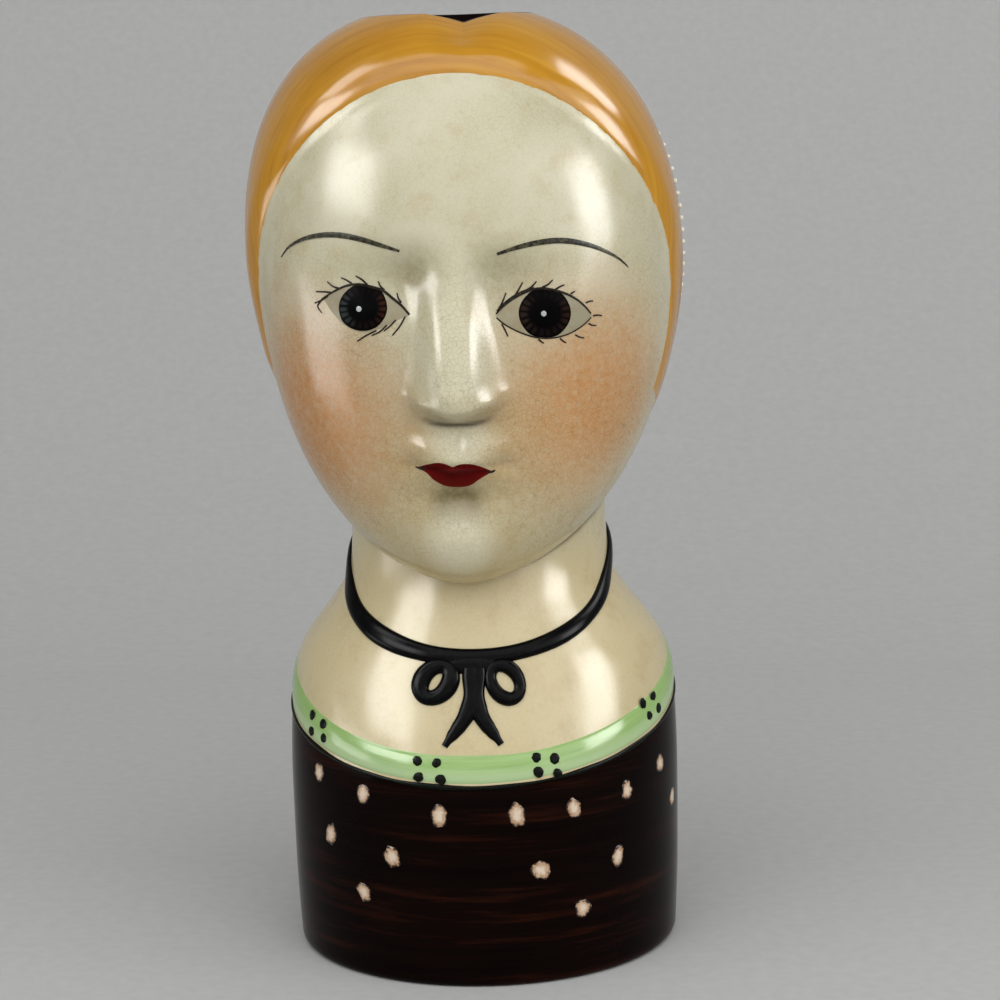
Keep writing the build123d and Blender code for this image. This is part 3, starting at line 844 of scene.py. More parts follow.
@dataclass(frozen=True)
class BrushedGlaze(Glaze):
    """Glaze laid on with a wide brush: one colour broken into lighter and darker streaks along the stroke."""

    middle: str = "#808080"
    dark: str = "#404040"
    light: str = "#A0A0A0"
    streak_wide: float = 1.6
    streak_long: float = 40.0
    shade_size: float = 24.0
    attribute: str = ""
    second: str = ""
    second_ior: float = 1.5
    contrast: float = 1.0

    def paint(self, add: Add, place: Link) -> Coat:
        """Streaks along the Y of the piece's own attribute, whose Z fades to the second colour, or level round it."""
        wide, long = per_mm(self.streak_wide), per_mm(self.streak_long)
        flow, along = place, (long, long, wide)
        if self.attribute:
            flow, along = add("Attribute", attribute_name=self.attribute).outputs["Vector"], (wide, long, 1.0)
        stretched = add("VectorMath", (flow, along), operation="MULTIPLY")
        streaks = add("TexNoise", {"Vector": stretched, "Scale": 1.0, "Detail": 5.0, "Roughness": 0.62})
        cloud = add("TexNoise", {"Vector": place, "Scale": per_mm(self.shade_size), "Detail": 3.0})
        layers = [
            (add("MapRange", (streaks, 0.50, 0.28, 0.0, self.contrast)), self.dark),
            (add("MapRange", (streaks, 0.52, 0.76, 0.0, self.contrast)), self.light),
            (add("MapRange", (cloud, 0.45, 0.72, 0.0, 0.5 * self.contrast)), self.dark),
        ]
        gleam = None
        if self.second:
            fade = add("SeparateXYZ", (flow,)).outputs["Z"]
            layers.append((fade, self.second))
            gleam = add("MapRange", (fade, 0.0, 1.0, self.ior, self.second_ior))
        colour = self.middle
        for share, over in layers:
            colour = add("Mix", {0: share, MIX_A: colour, MIX_B: over}, **COLOUR)
        return Coat(colour, streaks, gleam)


@dataclass(frozen=True)
class Enamel(Glaze):
    """Brush-painted enamel under the glaze: a thin film, uneven in depth where the brush ran dry."""

    deep: str = "#101010"
    thin: str = "#302C26"
    dry_size: float = 1.4
    dry_share: float = 0.6

    def paint(self, add: Add, place: Link) -> Coat:
        """One colour that thins in dry patches."""
        dry = add("TexNoise", {"Vector": place, "Scale": per_mm(self.dry_size), "Detail": 4.0, "Roughness": 0.7})
        share = add("MapRange", (dry, 0.45, 0.72, 0.0, self.dry_share))
        return Coat(add("Mix", {0: share, MIX_A: self.deep, MIX_B: self.thin}, **COLOUR))


@dataclass(frozen=True)
class DabEnamel(Glaze):
    """A dab of slip from a dry brush: pale in the middle, broken into bristle marks at its edge."""

    pale: str = "#E0CDB6"
    tan: str = "#B48F6C"
    ground: str = "#1A0906"
    bristle: float = 0.9

    def paint(self, add: Add, place: Link) -> Coat:
        """A dab with a ragged edge; the piece's spot attribute runs from 0 in the middle to 1 at the edge."""
        spot = add("Attribute", attribute_name="spot").outputs["Vector"]
        reach = add("SeparateXYZ", (spot,)).outputs["X"]
        grain = add("TexNoise", {"Vector": place, "Scale": per_mm(self.bristle), "Detail": 3.0, "Roughness": 0.6})
        ragged = add("Math", (grain, 0.9, reach), operation="MULTIPLY_ADD")
        body, edge = add("MapRange", (ragged, 0.75, 1.2)), add("MapRange", (ragged, 1.22, 1.36))
        colour = add("Mix", {0: body, MIX_A: self.pale, MIX_B: self.tan}, **COLOUR)
        return Coat(add("Mix", {0: edge, MIX_A: colour, MIX_B: self.ground}, **COLOUR))


@dataclass(frozen=True)
class IrisEnamel(Glaze):
    """Painted iris: a black pupil and rim with fine spokes over washes of grey and russet."""

    ground: str = "#140E0D"
    left_wash: str = "#363B3B"
    right_wash: str = "#3E1C0E"
    black: str = "#040303"
    wash_share: float = 0.8
    pupil: float = 0.60
    spokes: int = 19
    smudge_size: float = 1.6

    def paint(self, add: Add, place: Link) -> Coat:
        """Washes, spokes, rim and pupil; the piece's disc attribute runs from -1 to 1 across the iris."""
        disc = add("Attribute", attribute_name="disc").outputs["Vector"]
        axes = add("SeparateXYZ", (disc,)).outputs
        reach = add("VectorMath", (disc,), operation="LENGTH")
        turn = add("Math", (axes["Y"], axes["X"]), operation="ARCTAN2")
        ray = add("Math", (add("Math", (turn, float(self.spokes)), operation="MULTIPLY"),), operation="SINE")
        smudge = add("TexNoise", {"Vector": place, "Scale": per_mm(self.smudge_size), "Detail": 3.0})
        broken = add("Math", (smudge, 2.6, ray), operation="MULTIPLY_ADD")
        colour = self.ground
        for share, over in (
            ((axes["X"], -0.25, -0.7, 0.0, self.wash_share), self.left_wash),
            ((axes["X"], 0.45, 0.85, 0.0, self.wash_share), self.right_wash),
            ((broken, 1.1, 1.9, 0.0, 0.9), self.black),
            ((reach, 0.86, 0.94), self.black),
            ((reach, self.pupil + 0.10, self.pupil - 0.04), self.black),
            ((axes["Y"], 0.35, 0.75, 0.0, 0.8), self.black),
        ):
            colour = add("Mix", {0: add("MapRange", share), MIX_A: colour, MIX_B: over}, **COLOUR)
        return Coat(colour)


@dataclass(frozen=True)
class LipEnamel(Glaze):
    """Painted lips: deep red, darker where they meet and lighter along the lower edge."""

    red: str = "#580605"
    dark: str = "#330201"
    light: str = "#6A120A"
    seam_share: float = 0.36

    def paint(self, add: Add, place: Link) -> Coat:
        """Red with a dark seam; the piece's lip attribute runs from the upper edge to the lower."""
        lip = add("Attribute", attribute_name="lip").outputs["Vector"]
        drop = add("SeparateXYZ", (lip,)).outputs["Y"]
        near = add("Math", (add("Math", (drop, self.seam_share), operation="SUBTRACT"),), operation="ABSOLUTE")
        seam, low = add("MapRange", (near, 0.26, 0.02, 0.0, 0.8)), add("MapRange", (drop, 0.6, 0.95, 0.0, 0.8))
        colour = add("Mix", {0: seam, MIX_A: self.red, MIX_B: self.dark}, **COLOUR)
        return Coat(add("Mix", {0: low, MIX_A: colour, MIX_B: self.light}, **COLOUR))


# The glazes of this vase, each with what it gives the eye. Dark ones have a low IOR, so that they stay dark.
# Old lead glaze over skin: soft broad highlights
SKIN = SkinGlaze("crackled cream glaze", roughness=0.2)
# Thick clear glaze over brushed ochre: streaks along the hair, dark inside the mouth
GOLD = BrushedGlaze(
    "brushed golden glaze", roughness=0.17, ior=1.55, middle="#C48A14", dark="#A0660A", light="#D8A432",
    streak_wide=1.9, streak_long=34.0, attribute="flow", second="#100704", second_ior=1.06, contrast=0.6,
)
# Manganese glaze brushed round the drum: nearly black with red-brown streaks
BROWN = BrushedGlaze(
    "brushed dark brown glaze", ior=1.11, middle="#0E0503", dark="#060201", light="#34150B",
    streak_wide=3.6, streak_long=60.0,
)
# Copper glaze that ran thin along the band's lower part: paler there
GREEN = BrushedGlaze(
    "brushed pale green glaze", middle="#98BB70", dark="#82A758", light="#A9C888",
    streak_wide=1.8, streak_long=30.0, attribute="flow", second="#B4CD9A", contrast=0.8,
)
# Black slip under glaze: a wet black with small highlights
RIBBON = Enamel(
    "black ribbon glaze", roughness=0.2, ior=1.17, deep="#020203", thin="#121314", dry_size=1.5, dry_share=0.5
)
# Thin dark wash: a dull brown black
SNOOD_BROWN = Enamel("dark brown snood glaze", roughness=0.3, ior=1.3, deep="#140B08", thin="#2A1A13", dry_size=3.0)
# Trailed slip: warm white beads
WHITE_SLIP = Enamel("white trailed slip", roughness=0.2, deep="#E6E1D2", thin="#D6CDB6", dry_size=2.0)
# Poured glaze inside: dark and dull
INSIDE = Enamel("dark brown inside glaze", roughness=0.35, ior=1.2, deep="#160A06", thin="#2A140C", dry_size=8.0)
# Fine brush enamels of the face: thin lines that run dry
BROW_PAINT = Enamel(
    "grey brow enamel", roughness=0.25, ior=1.25, deep="#26241D", thin="#6E6A52", dry_size=1.0, dry_share=0.9
)
LINE_PAINT = Enamel(
    "black lash enamel", roughness=0.25, ior=1.2, deep="#15100B", thin="#4A3B28", dry_size=0.9, dry_share=0.7
)
EYE_WHITE = Enamel("eye white enamel", roughness=0.25, ior=1.3, deep="#9E977E", thin="#947F5C", dry_size=4.0)
GLINT_PAINT = Enamel("pale glint enamel", roughness=0.2, deep="#B5B9BA", thin="#9FA3A3", dry_size=1.0)
LEFT_IRIS = IrisEnamel("grey and russet iris enamel", roughness=0.3, ior=1.1)
RIGHT_IRIS = IrisEnamel("dark iris enamel", roughness=0.3, ior=1.1, left_wash="#2C201B", right_wash="#301B14")
LIP_PAINT = LipEnamel("red lip enamel", roughness=0.3, ior=1.14)
# Thick spots of the bodice: black beads of paint and dry cream dabs
DOT_PAINT = Enamel("black dot enamel", roughness=0.25, ior=1.18, deep="#070A05", thin="#18220F", dry_size=0.8)
DAB_PAINT = DabEnamel("cream dab enamel", roughness=0.25)


# Pieces


@dataclass
class Head:
    """The cast head, its hair and the bag that holds the back hair."""

    form: HeadForm = HeadForm()
    wall: float = 4.5
    mouth_radius: float = 20.0
    mouth_y: float = 2.0
    centre_z: float = 172.0
    neck_hole: float = 27.0
    columns: int = 300
    rows: int = 290
    inner_rows: int = 22
    front_crowding: float = 0.45
    face_crowding: float = 0.4
    face_share: float = 0.65
    hair_thick: float = 2.6
    hair_hem_thick: float = 0.7
    hair_full_z: float = 182.0
    hair_wall: float = 0.6
    hairline_z: float = 172.0
    hairline_x: float = -0.8
    hairline_half: float = 51.2
    hairline_rise: float = 53.2
    hairline_fall: float = 64.0
    hair_roll: float = 9.0
    hair_swell: float = 2.2
    fillet_high: float = 0.7
    fillet_run: float = 3.2
    hem_z: float = 141.0
    hem_slope: float = 0.5
    hem_tilt: float = 0.08
    lip_round: float = 0.35
    parting_x: float = 1.0
    parting_half: float = 9.5
    parting_depth: float = 2.5
    snood_thick: float = 3.0
    snood_sag: float = 6.0
    snood_y: float = 51.5
    snood_z: float = 189.0
    snood_radius: float = 42.0
    bead_radius: float = 0.82
    bead_pitch: float = 3.3
    bead_inset: float = 1.8
    net_rise: float = 9.0
    net_across: float = 12.0
    net_margin: float = 6.0
    fillet_fade: tuple[float, float] = (3.2, 1.4)
    fillet_edge: float = 0.6
    fillet_power: float = 1.6
    # Painted shade with grime at the joint with the neck, and painted shade in the crease under the nose
    neck_radius: float = 32.0
    joint_spread: float = 1.5
    joint_top_z: float = 130.0
    joint_shade_strength: float = 0.8
    crease_power: float = 3.0
    crease_rise: float = 0.6
    crease_spread: float = 0.8
    crease_half: float = 8.0
    crease_front_y: float = -44.0
    crease_shade_strength: float = 0.9
    least_steep: float = 0.25
    behind_gap: float = 8.0
    hair_under_net: float = 1.4
    parting_power: float = 1.3
    parting_front: tuple[float, float] = (-42.0, -20.0)
    parting_back: tuple[float, float] = (2.0, -8.0)
    parting_start: tuple[float, float] = (2.0, 14.0)
    parting_least: float = 0.2
    hair_sunk: float = -1.2
    hair_cut: float = -2.0
    rim_sunk: float = -0.5
    flow_radius: float = 55.0
    snood_turns: tuple[float, float] = (-38.0, 218.0)
    snood_angles: tuple[float, float] = (14.0, 146.0)
    snood_grid: tuple[int, int] = (260, 200)
    snood_roll: tuple[float, float] = (1.0, -1.4)
    snood_seat: float = 0.4
    snood_cut: float = 2.6
    snood_wall: float = 1.2
    dark_edge: float = 0.8
    dark_edge_back: float = 3.0
    dark_edge_run: tuple[float, float] = (-4.0, 18.0)
    dark_fade: tuple[float, float] = (0.6, -0.2)
    slope_step: float = 0.2

    def axis(self) -> np.ndarray:
        """Centre that the head's columns and rows are drawn from."""
        return np.array([self.form.lean(self.form.crown_z), self.mouth_y, self.centre_z])

    def turns(self) -> np.ndarray:
        """Turns round the head, closer together across the face."""
        even = np.linspace(-math.pi, math.pi, self.columns, endpoint=False)
        return -math.pi / 2.0 + even - self.front_crowding * np.sin(even)

    def edge_angle(self, turns: np.ndarray, radius: float, top: bool, grow: float) -> np.ndarray:
        """Angle from straight up at which the form lies at a radius from the mouth's axis.

        Args:
            turns: turns round the axis.
            radius: distance from the axis.
            top: whether it is the crown or the underside.
            grow: how far the form stands outside the skin.

        Returns:
            One angle for each turn.
        """
        axis = self.axis()
        flat = np.stack([np.cos(turns), np.sin(turns)], axis=-1) * radius + axis[:2]
        inside = np.full(turns.shape, axis[2])
        outside = np.full(turns.shape, self.form.crown_z + grow if top else self.form.chin_z - grow)
        for _ in range(40):
            middle = (inside + outside) / 2.0
            out = self.form.outside(np.concatenate([flat, middle[:, None]], axis=-1), grow)
            outside, inside = np.where(out, middle, outside), np.where(out, inside, middle)
        return np.arctan2(radius, inside - axis[2])

    def rays(self, turns: np.ndarray, angles: np.ndarray) -> np.ndarray:
        """Directions from the axis, by column then row."""
        turn = turns[:, None]
        return np.stack([np.sin(angles) * np.cos(turn), np.sin(angles) * np.sin(turn), np.cos(angles)], axis=-1)

    def skin_grid(self, rows: int, grow: float = 0.0, crowding: float = 0.0) -> np.ndarray:
        """Points on the plain egg, from the mouth's rim down to the neck.

        Args:
            rows: how many rows there are.
            grow: how far the form stands outside the skin.
            crowding: how much closer the rows are across the face.

        Returns:
            Points by column, then row.
        """
        turns = self.turns()
        first = self.edge_angle(turns, self.mouth_radius, True, grow)
        last = self.edge_angle(turns, self.neck_hole, False, grow)
        even = np.linspace(0.0, 1.0, rows)
        wave = np.sin(math.tau * (even - self.face_share)) + math.sin(math.tau * self.face_share)
        share = even - crowding / math.tau * wave
        angles = first[:, None] + (last - first)[:, None] * share
        return self.form.cast(self.axis(), self.rays(turns, angles), grow)

    def outward(self, grid: np.ndarray) -> np.ndarray:
        """Outward directions of a grid that goes round the head."""
        around = np.roll(grid, -1, axis=0) - np.roll(grid, 1, axis=0)
        down = np.gradient(grid, axis=1)
        return unit(np.cross(down, around))

    def joint_shade_and_grime(self, points: np.ndarray, bust: BustForm) -> np.ndarray:
        """How much painted shade, with grime, darkens points near the joint of the head with the neck, from 0 to 1."""
        x, y, z = axes_of(points)
        width, middle, run = bust.section(z)
        out = np.sqrt((x / width) ** 2 + ((y - middle) / run) ** 2) - 1.0
        near = np.exp(-((np.maximum(out * self.neck_radius, 0.0) / self.joint_spread) ** 2))
        return mark_of(self.joint_shade_strength * near * (z < self.joint_top_z))

    def nose_crease_shade(self, points: np.ndarray) -> np.ndarray:
        """How much painted shade darkens points near the crease under the nose, from 0 to 1."""
        face = self.form.relief
        x, y, z = axes_of(points)
        side = np.abs(x - self.form.shift)
        crease = face.nose_base_z + face.wing_lift * np.minimum(1.0, side / face.half_base) ** self.crease_power
        near = np.exp(-(((z - crease - self.crease_rise) / self.crease_spread) ** 2))
        return mark_of(self.crease_shade_strength * near * np.exp(-((side / self.crease_half) ** 6)) * (y < self.crease_front_y))

    def build_shell(self) -> bpy.types.Object:
        """The head with its face, its wall and its dark inside."""
        skin = self.skin_grid(self.rows, 0.0, self.face_crowding)
        gap = self.hair_gap(skin)
        raised = self.fillet(gap, skin) * ease(*self.fillet_fade, gap)
        outer = self.form.with_face(skin + self.outward(skin) * raised[..., None])
        inner = self.skin_grid(self.inner_rows, -self.wall)
        grid = np.concatenate([outer[:, ::-1], inner], axis=1)
        # Painted shade under the nose and, with grime, at the joint with the neck
        dirt = np.maximum(self.joint_shade_and_grime(grid, BustForm()), self.nose_crease_shade(grid))
        shell = shape_sheet(Sheet.RING, "head_shell_glazed", grid, {"dirt": dirt})
        dark = ~self.form.outside(face_centres(shell), -self.wall / 2.0)
        shell.data.polygons.foreach_set("material_index", dark.astype(np.int32))
        return shell

    def hairline_gap(self, points: np.ndarray) -> np.ndarray:
        """Distance of points on the head behind the hairline, far behind on the back half."""
        x, y, z = points[..., 0] - self.hairline_x, points[..., 1], points[..., 2] - self.hairline_z
        tall = np.where(z > 0.0, self.hairline_rise, self.hairline_fall)
        value = np.sqrt((x / self.hairline_half) ** 2 + (z / tall) ** 2)
        slope = np.sqrt((x / self.hairline_half**2) ** 2 + (z / tall**2) ** 2) / np.maximum(value, TINY)
        steep = np.clip(-y / self.form.face_reach, self.least_steep, 1.0)
        gap = (value - 1.0) / np.maximum(slope, TINY) / steep
        return np.where(y < 0.0, gap, np.maximum(gap, self.behind_gap + y))

    def hem_gap(self, points: np.ndarray) -> np.ndarray:
        """Distance of points above the hair's hem."""
        x, y, z = axes_of(points)
        fall = self.hem_z - self.hem_slope * y - self.hem_tilt * x
        return (z - fall) / math.hypot(1.0, self.hem_slope)

    def hair_gap(self, points: np.ndarray) -> np.ndarray:
        """Distance of points inside the hair's edge."""
        return np.minimum(self.hairline_gap(points), self.hem_gap(points))

    def mouth_gap(self, points: np.ndarray) -> np.ndarray:
        """Distance of points outside the mouth's rim."""
        axis = self.axis()
        return np.hypot(points[..., 0] - axis[0], points[..., 1] - axis[1]) - self.mouth_radius

    def snood_gap(self, points: np.ndarray) -> np.ndarray:
        """Distance of points in front of the snood's edge."""
        return np.hypot(points[..., 1] - self.snood_y, points[..., 2] - self.snood_z) - self.snood_radius

    def hair_full(self, points: np.ndarray) -> np.ndarray:
        """Full thickness of the hair, thinner towards its hem."""
        share = ease(self.hem_z, self.hair_full_z, points[..., 2])
        return self.hair_hem_thick + (self.hair_thick - self.hair_hem_thick) * share

    def fillet(self, gap: np.ndarray, points: np.ndarray) -> np.ndarray:
        """How far the glaze pools up against the hair's edge."""
        high = self.fillet_high * self.hair_full(points) / self.hair_thick
        return high * ease(-self.fillet_run, self.fillet_edge, gap) ** self.fillet_power

    def hair_height(self, points: np.ndarray) -> np.ndarray:
        """How far the hair stands off the skin, below it where there is no hair."""
        gap = self.hair_gap(points)
        full, pool = self.hair_full(points), self.fillet(gap, points)
        roll = np.clip(gap / self.hair_roll, 0.0, 1.0)
        height = pool + (full - pool) * (1.0 - (1.0 - roll) ** self.hair_swell)
        under_net = ease(1.5, -0.5, self.snood_gap(points))
        height = height + (np.minimum(height, self.hair_under_net) - height) * under_net
        x, y, _ = axes_of(points)
        notch = np.clip(1.0 - np.abs(x - self.parting_x) / self.parting_half, 0.0, 1.0) ** self.parting_power
        fade = ease(*self.parting_front, y) * ease(*self.parting_back, y) * ease(*self.parting_start, gap)
        height = np.maximum(height - self.parting_depth * notch * fade, np.minimum(height, self.parting_least))
        dip = gap * (full - pool) * self.hair_swell / self.hair_roll
        return np.where(gap > 0.0, height, pool + np.maximum(dip, self.hair_sunk))

    def hair_flow(self, points: np.ndarray) -> np.ndarray:
        """Coordinates that run across and along the brushed hair, and how far a point is inside the mouth."""
        away = points - np.array([0.0, 0.0, self.hairline_z])
        side = away[:, 0] - self.parting_x
        across = np.arccos(np.clip(-unit(away)[:, 1], -1.0, 1.0)) * self.flow_radius
        along = np.arctan2(np.abs(side), away[:, 2]) * self.flow_radius * np.sign(side)
        edge = self.dark_edge + self.dark_edge_back * ease(*self.dark_edge_run, points[:, 1])
        inside = ease(*self.dark_fade, self.mouth_gap(points) - edge)
        return np.stack([across * MM, along * MM, inside], axis=-1)

    def build_hair(self) -> bpy.types.Object:
        """The whole head of hair as one sheet, with a rolled lip at the mouth."""
        skin = self.skin_grid(self.rows, 0.0, self.face_crowding)
        outward = self.outward(skin)
        height = self.hair_height(skin)
        near = np.clip(1.0 - self.mouth_gap(skin) / self.lip_round, 0.0, 1.0)
        lip = self.lip_round * (1.0 - np.sqrt(1.0 - near**2)) * np.clip(height / self.hair_thick, 0.0, 1.0)
        grid = skin + outward * (height - lip)[..., None]
        rim = skin[:, :1] + outward[:, :1] * self.rim_sunk
        grid = np.concatenate([rim, grid], axis=1)
        closed = np.concatenate([grid, grid[:1]], axis=0)
        hair = shape_sheet(Sheet.PATCH, "hair", closed[:, ::-1])
        merge_seam(hair)
        delete_faces(hair, self.hair_gap(face_centres(hair)) < self.hair_cut)
        return hair

    def part_hair(self, hair: bpy.types.Object) -> dict[Side, bpy.types.Object]:
        """Divides the hair at the parting and gives each side its thickness."""
        sides: dict[Side, bpy.types.Object] = {}
        for side in Side:
            half = hair.copy()
            half.data = hair.data.copy()
            bpy.context.collection.objects.link(half)
            half.name = "hair_glazed_" + side.name.lower()
            make_active(half)
            bpy.ops.object.mode_set(mode="EDIT")
            bpy.ops.mesh.select_all(action="SELECT")
            bpy.ops.mesh.bisect(
                plane_co=(self.parting_x * MM, 0.0, 0.0), plane_no=(-side.value, 0.0, 0.0), clear_outer=True
            )
            bpy.ops.object.mode_set(mode="OBJECT")
            solidify(half, self.hair_wall)
            mark(half, "flow", self.hair_flow(read_points(half) / MM))
            sides[side] = half
        bpy.data.objects.remove(hair)
        return sides

    def build_snood(self) -> bpy.types.Object:
        """The bag over the back hair, with a rolled edge."""
        columns, rows = self.snood_grid
        turns = np.linspace(*np.radians(self.snood_turns), columns)
        angles = np.broadcast_to(np.linspace(*np.radians(self.snood_angles), rows), self.snood_grid)
        rays = self.rays(turns, angles)
        skin = self.form.cast(self.axis(), rays)
        bag = self.form.cast(self.axis(), rays, self.snood_thick, self.snood_sag)
        gap = self.snood_gap(bag)
        rise = ease(*self.snood_roll, gap)
        low = skin + rays * (self.snood_seat + np.minimum(0.0, 1.0 - gap))[..., None]
        snood = shape_sheet(Sheet.PATCH, "snood_glazed", (low + (bag - low) * rise[..., None])[:, ::-1])
        delete_faces(snood, self.snood_gap(face_centres(snood)) > self.snood_cut)
        solidify(snood, self.snood_wall)
        return snood

    def bead_places(self) -> tuple[np.ndarray, np.ndarray]:
        """Places of the beads on the snood and the directions they stand in."""
        places: list[tuple[float, float, float]] = []
        bag = self.snood_thick, self.snood_sag
        step = self.bead_pitch / self.snood_radius
        radius = self.snood_radius - self.bead_inset
        count = int(math.pi / 2.0 / step)
        for i in range(-count, count + 1):
            y = self.snood_y - radius * math.cos(i * step)
            z = self.snood_z + radius * math.sin(i * step)
            if y > self.form.level(z, *bag)[3] - self.net_margin:
                continue
            for side in Side:
                x = float(self.form.side_x(y, z, side.value, *bag))
                places.append((x, y, z))
        z = self.snood_z - self.snood_radius + 2.0 * self.net_margin
        row = 0
        while z < self.snood_z + self.snood_radius - 2.0 * self.net_margin:
            half = float(self.form.level(z, *bag)[0])
            edge = self.snood_y - math.sqrt(max(0.0, self.snood_radius**2 - (z - self.snood_z) ** 2))
            across = np.arange(self.net_across / 2.0 if row % 2 else 0.0, half - self.net_margin, self.net_across)
            for x in sorted({*across, *-across}):
                at = float(self.form.lean(z)) + x
                y = float(self.form.back_y(at, z, *bag))
                if y > edge + self.net_margin:
                    places.append((at, y, z))
            z += self.net_rise
            row += 1
        points = np.array(places)
        measure = self.form.measure
        slopes = [measure(points + move, *bag) - measure(points - move, *bag) for move in np.eye(3) * self.slope_step]
        return points, unit(np.stack(slopes, axis=-1))

    def build_beads(self) -> bpy.types.Object:
        """All the beads of slip, each a low dome seated in the snood."""
        bpy.ops.object.select_all(action="DESELECT")
        bpy.ops.mesh.primitive_uv_sphere_add(segments=10, ring_count=6, radius=self.bead_radius * MM)
        pattern = bpy.context.object
        beads: list[bpy.types.Object] = []
        for place, outward in zip(*self.bead_places()):
            bead = pattern.copy()
            bead.data = pattern.data.copy()
            turn = Vector(outward).to_track_quat("Z", "Y").to_matrix().to_4x4()
            bead.data.transform(Matrix.Translation(Vector(place) * MM) @ turn)
            bpy.context.collection.objects.link(bead)
            beads.append(bead)
        bpy.data.objects.remove(pattern)
        return join("snood_beads_trailed", beads)

    def build(self) -> None:
        """Builds and dresses the head, the hair, the snood and its beads."""
        dress(self.build_shell(), [SKIN, INSIDE], Slot.CREAM, ("head_shell",), 60.0)
        for side, half in self.part_hair(self.build_hair()).items():
            dress(half, [GOLD], Slot.GOLD, ("hair_" + side.name.lower(),), 60.0)
        dress(self.build_snood(), [SNOOD_BROWN], Slot.SNOOD, ("snood",), 60.0)
        dress(self.build_beads(), [WHITE_SLIP], Slot.SLIP, ("snood_beads",), 80.0)


@dataclass
class Bust:
    """The bodice drum, the neckline band and the shoulders with the neck."""

    form: BustForm = BustForm()
    head: HeadForm = HeadForm()
    wall: float = 4.5
    floor: float = 6.0
    foot_round: float = 2.0
    neck_top: float = 124.0
    neckline_z: float = 64.5
    neckline_slope: float = 0.25
    band_front: tuple[float, float] = (-47.0, 60.2)
    band_side: tuple[float, float] = (0.0, 75.2)
    band_back: tuple[float, float] = (47.0, 94.0)
    band_proud: float = 0.5
    band_edge: float = 1.4
    band_sunk: float = -0.35
    band_behind: float = -1.5
    band_rows: int = 26
    band_bow: float = 0.7
    pale_share: float = 0.85
    pale_top: tuple[float, float] = (0.62, 0.25)
    pale_foot: tuple[float, float] = (-0.02, 0.16)
    flow_radius: float = 50.0
    line_wide: float = 1.1
    line_drop: float = 0.25
    line_seat: float = 0.05
    line_high: float = 0.42
    line_waves: Waves = ((0.12, 7.0, 1.0), (0.1, 17.0, 0.0))
    # Painted shade with grime where the neck goes into the head
    joint_spread: float = 2.0
    joint_radius: float = 40.0
    joint_shade_strength: float = 0.8
    columns: int = 256

    def turns(self) -> np.ndarray:
        """Turns round the bust."""
        return np.linspace(-math.pi, math.pi, self.columns, endpoint=False)

    def neckline_at(self, y: np.ndarray) -> np.ndarray:
        """Height of the band's lower edge."""
        return self.neckline_z + self.neckline_slope * y

    def band_top_at(self, y: np.ndarray) -> np.ndarray:
        """Height of the band's upper edge: an arc in side view."""
        (y0, z0), (y1, z1), (y2, z2) = self.band_front, self.band_side, self.band_back
        rows = np.array([[2.0 * (y1 - y0), 2.0 * (z1 - z0)], [2.0 * (y2 - y0), 2.0 * (z2 - z0)]])
        sums = np.array([y1**2 + z1**2 - y0**2 - z0**2, y2**2 + z2**2 - y0**2 - z0**2])
        centre_y, centre_z = np.linalg.solve(rows, sums)
        radius = math.hypot(y0 - centre_y, z0 - centre_z)
        side = math.copysign(1.0, z1 - centre_z)
        at = np.clip(y, y0, y2)
        return centre_z + side * np.sqrt(radius**2 - (at - centre_y) ** 2)

    def build_drum(self) -> bpy.types.Object:
        """The bodice: a cup with a rounded foot, cut along the neckline."""
        turns = self.turns()
        rim = self.form.on_slope(turns, self.neckline_at)
        ring = np.stack([np.cos(turns), np.sin(turns), np.zeros_like(turns)], axis=-1)
        floor = self.form.point(turns, np.full_like(turns, self.floor), -self.wall)
        foot = self.form.point(turns, np.zeros_like(turns), -self.foot_round)
        top = rim[:, 2]
        point = partial(self.form.point, turns)
        rows = [floor * np.array([share, share, 1.0]) for share in np.linspace(0.0, 0.96, 8)]
        rows += [point(self.floor + (top - self.floor) * share, -self.wall) for share in np.linspace(0.0, 1.0, 20)]
        rows += [point(top + (self.foot_round - top) * share) for share in np.linspace(0.0, 1.0, 44)]
        for angle in np.linspace(0.0, math.pi / 2.0, 7)[1:]:
            out = foot + ring * (self.foot_round * math.cos(angle))
            rows.append(out + np.array([0.0, 0.0, self.foot_round * (1.0 - math.sin(angle))]))
        rows += [foot * share for share in np.linspace(0.96, 0.0, 8)]
        return shape_sheet(Sheet.CAPPED, "bodice_drum_glazed", np.stack(rows, axis=1))

    def build_band(self) -> bpy.types.Object:
        """The band round the neckline, raised with soft edges and paler along its lower part."""
        turns = self.turns()
        low = self.form.on_slope(turns, self.neckline_at)[:, 2]
        high = self.form.on_slope(turns, self.band_top_at)[:, 2]
        rows: list[np.ndarray] = []
        flows: list[np.ndarray] = []
        for i, share in enumerate((*np.linspace(0.0, 1.0, self.band_rows), *np.linspace(0.92, 0.08, 6))):
            z = low + (high - low) * share
            edge = np.minimum(share, 1.0 - share) * (high - low)
            rounded = 1.0 - (1.0 - np.clip(edge / self.band_edge, 0.0, 1.0)) ** 2
            bowed = 1.0 - self.band_bow * abs(2.0 * share - 1.0) ** 2
            proud = self.band_sunk + (self.band_proud - self.band_sunk) * rounded * bowed
            lift = proud if i < self.band_rows else np.full_like(z, self.band_behind)
            flat = self.form.point(turns, z)
            rows.append(flat + self.form.normal(flat) * lift[:, None])
            drop = np.full_like(z, share)
            pale = self.pale_share * ease(*self.pale_top, drop) * ease(*self.pale_foot, drop)
            flows.append(np.stack([share * (high - low) * MM, np.abs(turns) * self.flow_radius * MM, pale], axis=-1))
        flow = np.stack(flows, axis=1)
        return shape_sheet(Sheet.RING, "neckline_band_glazed", np.stack(rows, axis=1), {"flow": flow})

